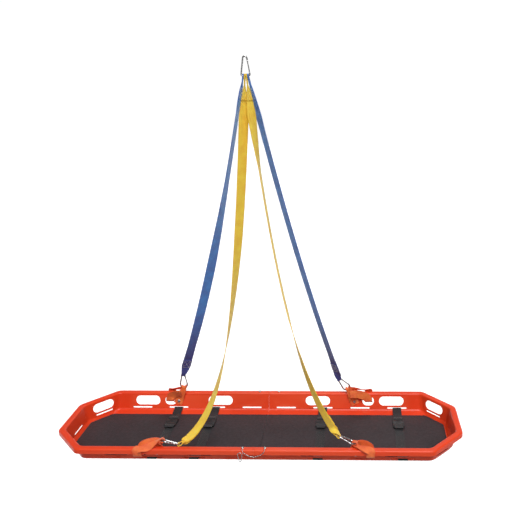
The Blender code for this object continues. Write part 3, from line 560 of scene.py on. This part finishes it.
def shell_openings(sign):
    bm = bmesh.new()
    depth = 2 * (HALF_WIDTH - SHELL_WALL - LIP_ROUND)
    along = (1, 0, 0)
    across = (0, 1, 0)
    for x, length in [(x, HAND_HOLE[0]) for x in HAND_HOLE_X] + [(STRAP_HOLE_X, STRAP_HOLE)]:
        stadium(bm, (sign * x, 0, RIM - HOLE_DROP), along, across, length, HAND_HOLE[1], depth)
    for x in SLOT_X:
        stadium(bm, (sign * x, 0, RIM - SLOT_DROP), along, across, SLOT[0], SLOT[1], depth, 6)
    slant = corner_normal()
    middle = Vector((HALF_LENGTH + STRAIGHT_HALF, END_HALF + HALF_WIDTH)) / 2
    reach = 2 * (wall_inset(HOLE_DROP) - SHELL_WALL - GAP)
    for side in (1, -1):
        normal = Vector((sign * slant.x, side * slant.y, 0))
        run = Vector((-normal.y, normal.x, 0))
        for hole_drop, length, height in ((HOLE_DROP, CORNER_HOLE, HAND_HOLE[1]),
                                          (SLOT_DROP, CORNER_SLOT, SLOT[1])):
            centre = Vector((sign * middle.x, side * middle.y, 0)) - normal * wall_inset(hole_drop)
            centre.z = RIM - hole_drop
            stadium(bm, centre, run, normal, length, height, reach)
        bolt = Vector((sign * BOLT_X[sign, side], side * wall_inside(BOLT_DROP), RIM - BOLT_DROP))
        cylinder(bm, bolt, wall_normal(side), BOLT_BORE, 0.03)
        cylinder(bm, (sign * PIN_X, side * SLEEVE_Y, RIM), (0, 0, 1), PIN_BORE, 0.016)
    end = (sign * (HALF_LENGTH - wall_inset(SLOT_DROP)), 0, RIM - SLOT_DROP)
    stadium(bm, end, (0, 1, 0), (1, 0, 0), CORNER_SLOT, SLOT[1], reach, 6)
    return mesh_object("openings", bm, SHELL_FINISH)


def basket_half(name, sign):
    bm = bmesh.new()
    rings = []
    for side_inset, corner_inset, fall in shell_section():
        outline = half_outline(side_inset, corner_inset, SEAM / 2)
        rings.append([bm.verts.new((sign * p.x, p.y, RIM - fall)) for p in outline])
    faces = []
    for lower, upper in zip(rings, rings[1:]):
        for index in range(len(lower) - 1):
            faces.append((lower[index], upper[index], upper[index + 1], lower[index + 1]))
    faces.append(tuple(reversed(rings[-1])))
    for face in faces:
        bm.faces.new(face if sign > 0 else tuple(reversed(face)))
    obj = mesh_object(name, bm, SHELL_FINISH)
    thick = obj.modifiers.new("Thickness", "SOLIDIFY")
    thick.thickness = SHELL_WALL
    thick.offset = -1.0
    thick.use_even_offset = True
    tool = shell_openings(sign)
    cut = obj.modifiers.new("Openings", "BOOLEAN")
    cut.operation = "DIFFERENCE"
    cut.solver = "EXACT"
    cut.object = tool
    edge = obj.modifiers.new("Edges", "BEVEL")
    edge.width = 0.0009
    edge.segments = 2
    edge.limit_method = "ANGLE"
    edge.angle_limit = math.radians(50)
    apply_modifiers(obj)
    drop(tool)
    smooth(obj, 32)
    weighted = obj.modifiers.new("Shading", "WEIGHTED_NORMAL")
    weighted.keep_sharp = True
    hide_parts(name.replace("basket_", "") + "_shell")
    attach(obj, "stretcher")


basket_half("basket_head", -1)
basket_half("basket_foot", 1)


# Webbing: woven strips that follow given rows

class Rows:
    """A strip's rows: centre, direction across, width, and how far its edges bow."""

    def __init__(self):
        self.rows = []

    def add(self, point, across, width, bow=(0, 0, 0)):
        self.rows.append((Vector(point), Vector(across).normalized(), width, Vector(bow)))

    def smoothed(self, count):
        picked = [catmull([Vector((row[2], 0, 0)) if kind == 2 else row[kind]
                           for row in self.rows], count) for kind in range(4)]
        self.rows = [(p, a.normalized(), w.x, b) for p, a, w, b in zip(*picked)]
        return self

    def frames(self):
        """Point, direction across, outward face, width, bow and distance of every row."""
        frames = []
        run = 0.0
        for index, (point, across, width, bow) in enumerate(self.rows):
            before = self.rows[max(index - 1, 0)][0]
            after = self.rows[min(index + 1, len(self.rows) - 1)][0]
            tangent = (after - before).normalized()
            side = (across - across.dot(tangent) * tangent).normalized()
            if index:
                run += (point - self.rows[index - 1][0]).length
            frames.append((point, side, side.cross(tangent), width, bow, run))
        return frames


def webbing(name, rows, thickness, finish, columns=8, crown=0.0):
    """A woven strip through the rows; its UVs are metres across and along."""
    bm = bmesh.new()
    uv = bm.loops.layers.uv.new("weave")
    grid = []
    for point, side, face, width, bow, run in rows.frames():
        line = []
        for column in range(columns + 1):
            share = column / columns - 0.5
            place = point + side * (share * width) + bow * (4 * share * share)
            place += face * (crown * (0.25 - share * share) * 4)
            line.append((bm.verts.new(place), share * WEBBING, run))
        grid.append(line)
    for low, high in zip(grid, grid[1:]):
        for column in range(columns):
            corners = (low[column], low[column + 1], high[column + 1], high[column])
            face = bm.faces.new([corner[0] for corner in corners])
            for loop, corner in zip(face.loops, corners):
                loop[uv].uv = corner[1:]
    obj = mesh_object(name, bm, finish)
    thick = obj.modifiers.new("Thickness", "SOLIDIFY")
    thick.thickness = thickness
    thick.offset = 0.0
    edge = obj.modifiers.new("Edges", "BEVEL")
    edge.width = thickness * 0.22
    edge.segments = 2
    edge.limit_method = "ANGLE"
    edge.angle_limit = math.radians(60)
    apply_modifiers(obj)
    smooth(obj, 40)
    return obj


def stitches(name, rows, thickness, finish, seams, side=1, length=0.0034, gap=0.0016,
             thread=0.0011):
    """Thread on one face of a strip. A seam runs between two (distance, share across) points."""
    frames = rows.frames()

    def place(run, share):
        for low, high in zip(frames, frames[1:]):
            if run <= high[5]:
                break
        t = (run - low[5]) / (high[5] - low[5])
        point, across, face = (low[k].lerp(high[k], t) for k in range(3))
        width = low[3] + (high[3] - low[3]) * t
        bow = low[4].lerp(high[4], t)
        lift = (thickness / 2 + 0.0001) * side
        return point + across * (share * width) + bow * (4 * share * share) + face * lift, face

    bm = bmesh.new()
    for start, end in seams:
        span = math.hypot(end[0] - start[0], (end[1] - start[1]) * WEBBING)
        count = max(1, int(span / (length + gap)))
        for index in range(count):
            low = index / count
            high = low + length / (length + gap) / count
            a, face = place(*(start[k] + (end[k] - start[k]) * low for k in range(2)))
            b, face = place(*(start[k] + (end[k] - start[k]) * high for k in range(2)))
            along = (b - a).normalized()
            turn = Matrix((along, face.cross(along).normalized(), face)).transposed().to_4x4()
            bmesh.ops.create_uvsphere(
                bm, u_segments=6, v_segments=4, radius=1.0,
                matrix=Matrix.Translation((a + b) / 2) @ turn
                @ Matrix.Diagonal(((b - a).length / 2, thread / 2, 0.00035, 1.0)))
    obj = mesh_object(name, bm, finish)
    obj.data.shade_smooth()
    return obj


def box_seams(start, end, share=0.36, cross=True):
    """A sewn box between two distances, with a cross in it."""
    seams = [((start, -share), (end, -share)), ((start, share), (end, share)),
             ((start, -share), (start, share)), ((end, -share), (end, share))]
    if cross:
        seams += [((start, -share), (end, share)), ((start, share), (end, -share))]
    return seams


# Carabiners

def loop_arcs(length, width, narrow, flat, steps):
    """Centre line in (u, v) of a pear-shaped loop: its wide end's arc, then its narrow end's."""
    corner = width / 2 - flat
    slim = narrow / 2
    run = length - slim - corner
    spread = math.hypot(run, flat)
    lean = math.acos((corner - slim) / spread) - math.atan2(flat, run)
    turn = math.pi - lean
    wide_arc = []
    slim_arc = []
    for step in range(steps + 1):
        angle = lean + turn * step / steps
        wide_arc.append(Vector((corner + corner * math.cos(angle), flat + corner * math.sin(angle))))
    for step in range(0 if flat else 1, steps + 1):
        angle = math.pi + turn * step / steps
        wide_arc.append(Vector((corner + corner * math.cos(angle), corner * math.sin(angle) - flat)))
    for step in range(2 * steps + 1):
        angle = -lean + 2 * lean * step / (2 * steps)
        slim_arc.append(Vector((length - slim + slim * math.cos(angle), slim * math.sin(angle))))
    return wide_arc, slim_arc


def tube(name, path, radius, finish, resolution=5):
    curve = bpy.data.curves.new(name, "CURVE")
    curve.dimensions = "3D"
    curve.bevel_depth = radius
    curve.bevel_resolution = resolution
    curve.use_fill_caps = True
    spline = curve.splines.new("POLY")
    spline.points.add(len(path) - 1)
    for point, place in zip(spline.points, path):
        point.co = (*place, 1.0)
    obj = link_object(name, curve)
    depsgraph = bpy.context.evaluated_depsgraph_get()
    mesh = bpy.data.meshes.new_from_object(obj.evaluated_get(depsgraph), depsgraph=depsgraph)
    drop(obj)
    solid = link_object(name, mesh, finish)
    smooth(solid, 50)
    return solid


def frame_of(wide_end, narrow_end, across):
    u = (narrow_end - wide_end).normalized()
    v = (across - across.dot(u) * u).normalized()
    return u, v, u.cross(v)


def carabiner(node, wide_end, u, v, size, body, finish):
    """The wire body with its hooked nose, and the sleeved gate on its own hinge rivet."""
    length, width, narrow, radius, flat = size
    wide_arc, slim_arc = loop_arcs(
        length - 2 * radius, width - 2 * radius, narrow - 2 * radius, flat, 10)
    foot = wide_arc[0]
    head = slim_arc[-1]

    def world(p):
        return wide_end + u * p.x + v * p.y

    path = [foot.lerp(head, 0.10)] + wide_arc + slim_arc + [foot.lerp(head, 0.86)]
    frame_piece = tube(node + "_wire", [world(p) for p in path], radius, finish)
    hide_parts(node)
    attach(frame_piece, body)
    run = (head - foot).normalized()
    low = world(foot.lerp(head, 0.10) + run * 0.0008)
    high = world(foot.lerp(head, 0.86) - run * 0.0016)
    axis = (high - low).normalized()
    span = (high - low).length
    profile = ((0.0, 0.0), (0.62, 0.0), (0.80, 0.03), (0.80, 0.12), (0.70, 0.14), (0.70, 0.84),
               (0.80, 0.86), (0.80, 0.97), (0.62, 1.0), (0.0, 1.0))
    bm = bmesh.new()
    rings = []
    turn = Vector((0, 0, 1)).rotation_difference(axis)
    for share, place in profile:
        centre = low + axis * (span * place)
        if share == 0.0:
            rings.append([bm.verts.new(centre)])
            continue
        rings.append([bm.verts.new(centre + turn @ Vector((math.cos(a), math.sin(a), 0))
                                   * (share * radius))
                      for a in (2 * math.pi * k / 18 for k in range(18))])
    for lower, upper in zip(rings, rings[1:]):
        for k in range(18):
            after = (k + 1) % 18
            quad = [lower[k % len(lower)], lower[after % len(lower)],
                    upper[after % len(upper)], upper[k % len(upper)]]
            face = [vert for i, vert in enumerate(quad) if vert not in quad[:i]]
            bm.faces.new(face)
    cylinder(bm, high - axis * (radius * 0.5), u.cross(v), radius * 0.28, radius * 2.0, 14)
    gate = mesh_object(node + "_gate_sleeve", bm, finish)
    smooth(gate, 40)
    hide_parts(node + "_gate")
    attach(gate, node + "_gate")
    return frame_piece, gate


# Sling legs

def catenary(start, end, length, count):
    flat = Vector((end.x - start.x, end.y - start.y, 0))
    span = flat.length
    rise = end.z - start.z
    target = math.sqrt(max(length ** 2 - rise ** 2, span ** 2 * 1.000001)) / span
    low = 1e-4
    high = 6.0
    for _ in range(60):
        middle = (low + high) / 2
        if math.sinh(middle) / middle < target:
            low = middle
        else:
            high = middle
    a = span / (2 * low)
    shift = span / 2 - a * math.atanh(rise / length)
    base = start.z - a * math.cosh(-shift / a)
    first = math.sinh(-shift / a)
    last = math.sinh((span - shift) / a)
    points = []
    for step in range(count):
        place = shift + a * math.asinh(first + (last - first) * step / (count - 1))
        height = base + a * math.cosh((place - shift) / a)
        points.append(Vector((start.x, start.y, 0)) + flat * (place / span) + Vector((0, 0, height)))
    return points


def turns_at(turns, share):
    for (a, low), (b, high) in zip(turns, turns[1:]):
        if share <= b:
            return low + (high - low) * (share - a) / (b - a)
    return turns[-1][1]


def sling_leg(node, foot, pull, foot_across, top, length, turns, foot_eye, top_eye, finish, thread):
    """A leg from its lower eye, round the carabiner, up to the eye on the hoist link."""
    spine = catenary(foot, top, length, 161)
    tail = EYE + SEWN
    top_across = Vector((1, 0, 0))

    def at(s):
        place = min(max(s, 0), length) / length * 160
        index = min(int(place), 159)
        return spine[index].lerp(spine[index + 1], place - index)

    def across(s):
        angle = math.radians(turns_at(turns, s / length))
        level = Vector((math.cos(angle), math.sin(angle), 0))
        near_foot = max(0.0, 1 - s / EYE)
        near_top = max(0.0, 1 - (length - s) / EYE)
        mixed = level * (1 - near_foot - near_top) + foot_across * near_foot
        return (mixed + top_across * near_top).normalized()

    def layer(s, side):
        ahead = (at(s + 0.01) - at(s - 0.01)).normalized()
        hint = across(s)
        face = (hint - hint.dot(ahead) * ahead).normalized().cross(ahead)
        from_end = min(s, length - s)
        eye = foot_eye if s < length / 2 else top_eye
        apart = WIRE_CLEAR
        if from_end > EYE * 0.35:
            share = min(1.0, (from_end - EYE * 0.35) / (EYE * 0.65))
            apart += ((WEBBING_THICK + GAP) / 2 + 0.0003 - WIRE_CLEAR) * share
        opened = min(1.0, max(0.0, from_end - eye[1]) / eye[2])
        broad = eye[0] + (WEBBING - eye[0]) * opened ** 0.8
        return at(s) + face * apart * side, hint, broad

    rows = Rows()
    seam = []
    steps = 18
    for step in range(steps):
        rows.add(*layer(tail * (1 - step / steps), 1))
    face = foot_across.cross(pull)
    for step in range(13):
        angle = math.pi * step / 12
        rows.add(foot + (face * math.cos(angle) - pull * math.sin(angle)) * WIRE_CLEAR,
                 foot_across, foot_eye[0])
    for step in range(1, steps):
        rows.add(*layer(tail * step / steps, -1))
    for step in range(101):
        rows.add(*layer(tail + (length - 2 * tail) * step / 100, -1))
    for step in range(1, steps):
        rows.add(*layer(length - tail * (1 - step / steps), -1))
    up = Vector((0, 0, 1))
    face = top_across.cross(up)
    for step in range(13):
        angle = math.pi * step / 12
        rows.add(top + (up * math.sin(angle) - face * math.cos(angle)) * WIRE_CLEAR,
                 top_across, top_eye[0])
    for step in range(1, steps + 1):
        rows.add(*layer(length - tail * step / steps, 1))
    strip = webbing(node + "_webbing", rows, WEBBING_THICK, finish)
    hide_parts(node)
    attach(strip, "stretcher")
    end = rows.frames()[-1][5]
    sewn = box_seams(0.006, SEWN - 0.004) + box_seams(end - SEWN + 0.004, end - 0.006)
    fold = 2 * tail + math.pi * WIRE_CLEAR
    sewn += box_seams(fold - SEWN + 0.004, fold - 0.006)
    sewn += box_seams(end - fold + 0.006, end - fold + SEWN - 0.004)
    thread_piece = stitches(node + "_stitching", rows, WEBBING_THICK, thread, sewn, -1,
                            thread=LEG_THREAD)
    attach(thread_piece, "stretcher")
    return strip, thread_piece, spine


# Wide end, narrow end and across direction of each carabiner, from the rim's top and edge
LIFT_POINTS = {
    "head_far": (-1, 1, (-0.505, -0.038, 0.039), (-0.500, -0.048, 0.126), (1, 0, 0.06), -1),
    "foot_far": (1, 1, (0.471, -0.035, 0.030), (0.418, -0.047, 0.100), (1, 0, 0.6), -1),
    "head_near": (-1, -1, (-0.470, -0.035, 0.032), (-0.396, -0.046, 0.004), (0.25, -0.91, 0.33), 1),
    "foot_near": (1, -1, (0.509, -0.040, 0.018), (0.432, -0.046, 0.055), (-0.20, -0.95, 0.25), 1),
}

# Finish, thread, slack, seat on the link's bar in eye pitches, and how the width turns from
# foot to top in degrees about Z from +X
LEGS = {
    "head_far": (BLUE, WHITE_THREAD, 0.0026, -1.5,
                 ((0, 10), (0.12, 36), (0.24, 26), (0.42, 30), (0.58, 60), (0.7, 76),
                  (0.9, 84), (0.95, 60), (1, 0))),
    "foot_far": (BLUE, WHITE_THREAD, 0.0010, 1.5,
                 ((0, -30), (0.1, -48), (0.85, -52), (0.95, -40), (1, 0))),
    "head_near": (YELLOW, GOLD_THREAD, 0.062, -0.5,
                  ((0, 150), (0.12, 130), (0.32, 90), (0.6, 45), (0.85, 35), (0.94, 30), (1, 0))),
    "foot_near": (YELLOW, GOLD_THREAD, 0.028, 0.5,
                  ((0, 150), (0.1, 138), (0.22, 118), (0.36, 92), (0.76, 90), (0.86, 60),
                   (0.93, 30), (1, 0))),
}

# Width of an eye on its wire, and where and how fast the webbing opens past it
FOOT_EYE = (0.024, 0.012, 0.055)
TOP_EYE = (EYE_WIDTH, 0.8 * EYE, OPENING_OUT)
STRAP_ON_WIRE = 0.027


def lift_strap(place_name, sign, side, wide_end, u, v, normal, inner):
    """Webbing from the anchor bolt up round the carabiner's wire, over the rim, in through
    the strap hole and up again to the wire."""
    node = "lift_strap_" + place_name
    clear = WEBBING_THICK / 2 + 3 * GAP
    around = WIRE_CLEAR + 2 * GAP
    x_axis = Vector((1, 0, 0))
    v = -v if v.x < 0 else v
    arc = (LINK[1] - 2 * LINK[3]) / 2
    bow = u * (arc - math.sqrt(arc ** 2 - (STRAP_ON_WIRE / 2) ** 2))
    bolt_x = BOLT_X[sign, side]
    reach = abs(wide_end.x)
    rise = wide_end.z - RIM
    climb = Vector((reach - bolt_x, 0, rise + BOLT_DROP)).normalized()
    up_wall = Vector((0, side * math.sin(WALL_SLOPE), math.cos(WALL_SLOPE)))
    level = climb.z * x_axis - sign * climb.x * up_wall

    def place(x, y, z):
        return Vector((sign * x, side * y, RIM + z))

    def on_wall(run, off):
        """A point on the strap's way from the bolt to the wire, off the wall's face."""
        drop = BOLT_DROP - climb.z * run
        return place(bolt_x + climb.x * run, wall_inside(drop) - clear - off, -drop)

    lip = HALF_WIDTH - LIP_WIDTH
    under = normal * (inner * around)
    outer = HALF_WIDTH + clear + 0.0035
    drape = STRAP_HOLE_X + 0.002
    back = reach + 0.010
    crest, tail_drop = (0.015, 0.0) if side > 0 else (0.008, 0.014)
    rows = Rows()
    rows.add(on_wall(-0.015, 0), level, WEBBING)
    rows.add(on_wall(0, 0), level, WEBBING)
    rows.add(on_wall(0.012, 0.0008), level, WEBBING)
    rows.add(on_wall(0.024, 0.0040), level, WEBBING)
    rows.add(on_wall(0.040, 0.0085), level, WEBBING * 0.84)
    rows.add(wide_end + under * 1.1 - u * 0.010, v, STRAP_ON_WIRE * 1.15, bow * 0.6)
    for step in range(7):
        angle = math.pi * step / 6
        rows.add(wide_end + under * math.cos(angle) + u * (around * math.sin(angle)), v,
                 STRAP_ON_WIRE, bow)
    rows.add(wide_end - under - u * 0.008, v, STRAP_ON_WIRE, bow * 0.6)
    rows.add(place(reach * 0.45 + drape * 0.55, HALF_WIDTH - 0.012, crest), x_axis, WEBBING * 0.8)
    for y, z in ((outer - 0.002, 0.002), (outer + 0.002, -0.012), (outer + 0.001, -0.028),
                 (outer - 0.010, -0.041), (wall_outside(HOLE_DROP), -0.046),
                 (wall_inside(HOLE_DROP) - 0.006, -0.045), (wall_inside(HOLE_DROP) - 0.013, -0.035)):
        rows.add(place(drape, y, z), x_axis, WEBBING * 0.86)
    for share, y, z, tilt, width in (
            (0.10, wall_inside(0.02) - 0.018, -0.014, 0.30, WEBBING),
            (0.35, lip - 0.023, 0.002, 0.62, WEBBING),
            (0.70, lip - 0.029, 0.012, 1.10, WEBBING * 0.9),
            (1.00, lip - 0.030, 0.010, 1.45, WEBBING * 0.82)):
        rows.add(place(drape + (back - drape) * share, y, z - tail_drop * share),
                 (math.cos(tilt), side * 0.3 * math.sin(tilt), sign * math.sin(tilt)), width)
    rows.smoothed(5 * len(rows.rows))
    strip = webbing(node + "_webbing", rows, WEBBING_THICK, ORANGE)
    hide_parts(node)
    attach(strip, "stretcher")
    end = rows.frames()[-1][5]
    sewn = box_seams(0.004, 0.034, 0.40, False) + box_seams(end - 0.040, end - 0.004, 0.36, False)
    sewn += [((0.004, share), (end - 0.004, share)) for share in (-0.43, 0.43)]
    thread_piece = stitches(node + "_stitching", rows, WEBBING_THICK, ORANGE_THREAD, sewn, 1)
    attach(thread_piece, "stretcher")


def build_sling():
    pitch = EYE_WIDTH + EYE_GAP
    apex = Vector((0, 0, APEX))
    link = carabiner("hoist_link", apex, Vector((0, 0, 1)), Vector((1, 0, 0)),
                     LINK + (2 * pitch,), "hoist_link", STEEL)
    for name, (sign, side, wide, slim, across, inner) in LIFT_POINTS.items():
        wide_end = Vector((wide[0], side * (HALF_WIDTH + wide[1]), RIM + wide[2]))
        slim_end = Vector((slim[0], side * (HALF_WIDTH + slim[1]), RIM + slim[2]))
        u, v, normal = frame_of(wide_end, slim_end, Vector(across))
        slim_end = wide_end + u * (LINK[0] - 2 * LINK[3])
        carabiner("carabiner_" + name, wide_end, u, v, LINK + (0,), "stretcher", STEEL)
        lift_strap(name, sign, side, wide_end, u, v, normal, inner)
        finish, thread, slack, seat, turns = LEGS[name]
        top = apex + Vector((seat * pitch, 0, 0))
        length = (top - slim_end).length + slack
        strip, sewn, spine = sling_leg("sling_leg_" + name, slim_end, u, v, top, length, turns,
                                       FOOT_EYE, TOP_EYE, finish, thread)


build_sling()


# Tether chain and snap hook

CHAIN_RADIUS = 0.0025
CHAIN_WIRE = 0.0009
CHAIN_PITCH = 0.0078
RING_STEPS = 16
WIRE_STEPS = 8
CHAIN_DROP = 0.036
HOOK_X = -0.068
HOOK_DROP = 0.010


def chain_route():
    out = -HALF_WIDTH - CHAIN_RADIUS - GAP - 0.0005
    start = -SLEEVE_Y - PIN_HEAD_RADIUS - 2 * GAP
    over = -HALF_WIDTH + LIP_ROUND * 0.25
    half = [
        Vector((-PIN_X, start, RIM + CHAIN_RADIUS + GAP)),
        Vector((-PIN_X, over, RIM + CHAIN_RADIUS + 0.0010)),
        Vector((-PIN_X * 0.92, out, RIM - 0.010)),
        Vector((-PIN_X * 0.55, out, RIM - CHAIN_DROP * 0.75)),
    ]
    middle = [Vector((0, out, RIM - CHAIN_DROP))]
    return half + middle + [Vector((-p.x, p.y, p.z)) for p in reversed(half)], out


def build_chain():
    points, out = chain_route()
    fine = catmull(points, 400)
    runs = [0.0]
    for a, b in zip(fine, fine[1:]):
        runs.append(runs[-1] + (b - a).length)
    count = int(runs[-1] / CHAIN_PITCH)
    bm = bmesh.new()

    def at(run):
        for index in range(len(runs) - 1):
            if run <= runs[index + 1]:
                t = (run - runs[index]) / (runs[index + 1] - runs[index])
                return fine[index].lerp(fine[index + 1], t)
        return fine[-1]

    pitch = runs[-1] / count
    bend = CHAIN_RADIUS - CHAIN_WIRE
    half = pitch / 2 + CHAIN_WIRE * 0.7 - bend
    for link in range(count):
        a = at(link * pitch)
        b = at((link + 1) * pitch)
        along = (b - a).normalized()
        side = along.cross(Vector((0, 0.6, 0.8))).normalized()
        side = Matrix.Rotation(math.radians(45 + 90 * (link % 2)), 3, along) @ side
        ring = []
        for step in range(RING_STEPS):
            angle = 2 * math.pi * step / RING_STEPS
            shift = half if math.cos(angle) > 0 else -half
            ring.append((a + b) / 2 + along * (shift + bend * math.cos(angle))
                        + side * (bend * math.sin(angle)))
        normal = along.cross(side)
        circles = []
        for step, centre in enumerate(ring):
            ahead = (ring[(step + 1) % RING_STEPS] - ring[step - 1]).normalized()
            outward = normal.cross(ahead)
            angles = [2 * math.pi * k / WIRE_STEPS for k in range(WIRE_STEPS)]
            circles.append([bm.verts.new(centre + (outward * math.cos(t) + normal * math.sin(t))
                                         * CHAIN_WIRE) for t in angles])
        for first, second in zip(circles, circles[1:] + circles[:1]):
            for k in range(WIRE_STEPS):
                after = (k + 1) % WIRE_STEPS
                bm.faces.new((first[k], second[k], second[after], first[after]))
    bmesh.ops.recalc_face_normals(bm, faces=bm.faces)
    chain = mesh_object("tether_chain_links", bm, STEEL)
    chain.data.shade_smooth()
    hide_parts("tether_chain")
    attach(chain, "stretcher")
    top = Vector((HOOK_X, out - CHAIN_RADIUS - HOOK[3] - GAP, RIM - HOOK_DROP))
    hook = carabiner("snap_hook", top, Vector((0, 0, -1)), Vector((1, 0, 0)), HOOK + (0,),
                     "snap_hook", STEEL)


build_chain()


# Mats: closed-cell foam slabs with a soft edge

def foam_mat(name, sign):
    bottom = SHELL_WALL + GAP
    inset = 0.006
    soft = 0.0035
    bm = bmesh.new()
    rings = []
    for lift, back in ((0.0, soft * 0.6), (soft * 0.5, soft * 0.15), (soft, 0.0),
                       (MAT_TOP - bottom - soft, 0.0), (MAT_TOP - bottom - soft * 0.3, soft * 0.3),
                       (MAT_TOP - bottom, soft), (MAT_TOP - bottom + 0.0004, soft * 3)):
        outline = half_outline(FLOOR_INSET + inset + back, FLOOR_CORNER_INSET + inset + back,
                               GAP + back, 8, 0.030)
        rings.append([bm.verts.new((sign * p.x, p.y, bottom + lift)) for p in outline])
    count = len(rings[0])
    for lower, upper in zip(rings, rings[1:]):
        for index in range(count):
            after = (index + 1) % count
            bm.faces.new((lower[index], upper[index], upper[after], lower[after]))
    bm.faces.new(rings[0])
    bm.faces.new(list(reversed(rings[-1])))
    bmesh.ops.recalc_face_normals(bm, faces=bm.faces)
    obj = mesh_object(name + "_foam", bm, MAT_FINISH)
    smooth(obj, 50)
    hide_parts(name)
    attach(obj, "stretcher")


foam_mat("head_mat", -1)
foam_mat("foot_mat", 1)


# Restraint straps and side-release buckles

STRAP_X = {"shoulder": -0.540, "chest": -0.320, "thigh": 0.320, "ankle": 0.757}
BUCKLE_Y = 0.110
BUCKLE_THICK = 0.012
FEMALE_LENGTH = 0.046
MALE_LENGTH = 0.026
BAR = 0.004


def restraint_strap(node, x, side, bar_y):
    """Webbing from its folded stop outside the slot, over the mat, round the buckle's bar."""
    clear = STRAP_THICK / 2 + GAP
    slot_z = RIM - SLOT_DROP
    lie = MAT_TOP + clear + 0.0004
    top = MAT_TOP + GAP + STRAP_THICK + GAP + BUCKLE_THICK + clear
    toward = 1 if side * bar_y < wall_inside(SLOT_DROP) else -1
    inner = bar_y * side - toward * (BAR / 2 + clear)
    outer = bar_y * side + toward * (BAR / 2 + clear)
    mat_edge = HALF_WIDTH - FLOOR_INSET - 0.006
    points = [
        (wall_outside(SLOT_DROP) + 0.0028, slot_z - 0.0065),
        (wall_outside(SLOT_DROP) + 0.0024, slot_z - 0.002),
        (wall_outside(SLOT_DROP), slot_z),
        (wall_inside(SLOT_DROP), slot_z + 0.0005),
        (wall_inside(SLOT_DROP) - 0.006, slot_z - 0.003),
        (HALF_WIDTH - FLOOR_INSET + 0.010, MAT_TOP + 0.007),
        (mat_edge - 0.004, lie + 0.0012),
        (mat_edge - 0.022, lie),
        (mat_edge * 0.6 + outer * 0.4, lie),
        (outer + 0.012, lie),
        (inner + 0.0030, lie),
        (inner + 0.0008, lie + 0.0008),
        (inner, lie + 0.0030),
        (inner, top - 0.0030),
        (inner + 0.0008, top - 0.0008),
        (inner + 0.0030, top),
        (outer + 0.010, top - 0.0006),
        (outer + 0.019, top - 0.0020),
    ]
    rows = Rows()
    for y, z in points:
        rows.add((x, side * y, z), (1, 0, 0), WEBBING)
    strip = webbing(node + "_webbing", rows, STRAP_THICK, BLACK)
    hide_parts(node)
    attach(strip, "stretcher")
    end = rows.frames()[-1][5]
    thread = stitches(node + "_stitching", rows, STRAP_THICK, BLACK_THREAD,
                      box_seams(end - 0.015, end - 0.004, 0.40, False), -side)
    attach(thread, "stretcher")


def rounded_copy(node, body, width=0.0011):
    """The CAD solid with its edges moulded over."""
    source = frame["nodes"][node]
    obj = link_object(node + "_moulded", source.data.copy())
    obj.data.materials.clear()
    obj.data.materials.append(BLACK_PLASTIC)
    bm = bmesh.new()
    bm.from_mesh(obj.data)
    bmesh.ops.remove_doubles(bm, verts=bm.verts, dist=0.00002)
    bmesh.ops.dissolve_limit(bm, angle_limit=math.radians(2), verts=bm.verts, edges=bm.edges)
    bm.to_mesh(obj.data)
    bm.free()
    edge = obj.modifiers.new("Edges", "BEVEL")
    edge.width = width
    edge.segments = 3
    edge.limit_method = "ANGLE"
    edge.angle_limit = math.radians(40)
    apply_modifiers(obj)
    smooth(obj, 40)
    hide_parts(node)
    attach(obj, body)
    return obj


def grip_ribs(node, x, mouth):
    """Raised ribs on the female half's top, and a raised rim round its mouth."""
    top = MAT_TOP + GAP + STRAP_THICK + GAP + BUCKLE_THICK
    ribs = [(mouth + 0.012 + step * 0.0045, (0.030 - step * 0.003, 0.0016, 0.0012, 1))
            for step in range(5)]
    ribs.append((mouth + 0.0035, (0.056, 0.0028, 0.0014, 1)))
    bm = bmesh.new()
    for y, size in ribs:
        matrix = Matrix.Translation((x, y, top)) @ Matrix.Diagonal(size)
        bmesh.ops.create_cube(bm, size=1.0, matrix=matrix)
    bmesh.ops.bevel(bm, geom=bm.edges[:], offset=0.00045, segments=2, affect="EDGES", profile=0.5)
    raised = mesh_object(node + "_ribs", bm, BLACK_PLASTIC)
    smooth(raised, 40)
    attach(raised, "stretcher")


def build_restraints():
    for name, x in STRAP_X.items():
        mouth = BUCKLE_Y - FEMALE_LENGTH / 2
        rounded_copy(name + "_buckle_female", "stretcher")
        rounded_copy(name + "_buckle_male", "stretcher")
        for hand in ("left", "right"):
            rounded_copy(f"{name}_prong_{hand}", f"{name}_prong_{hand}", 0.0006)
        grip_ribs(name + "_buckle_female", x, mouth)
        restraint_strap(name + "_strap_far", x, 1, mouth + FEMALE_LENGTH - BAR / 2)
        restraint_strap(name + "_strap_near", x, -1, mouth - GAP - MALE_LENGTH + BAR / 2)


build_restraints()


# Steel nodes kept from the CAD take the steel finish; the far sleeves take a darker copy of it,
# which is painted shade

for node_name, node in frame["nodes"].items():
    if node_name.startswith(("sleeve_", "lock_pin_", "anchor_bolt_")):
        node.data.materials.clear()
        # Painted shade: the far sleeves get the darker copy of the steel
        node.data.materials.append(SHADED_STEEL if node_name.startswith("sleeve_far") else STEEL)
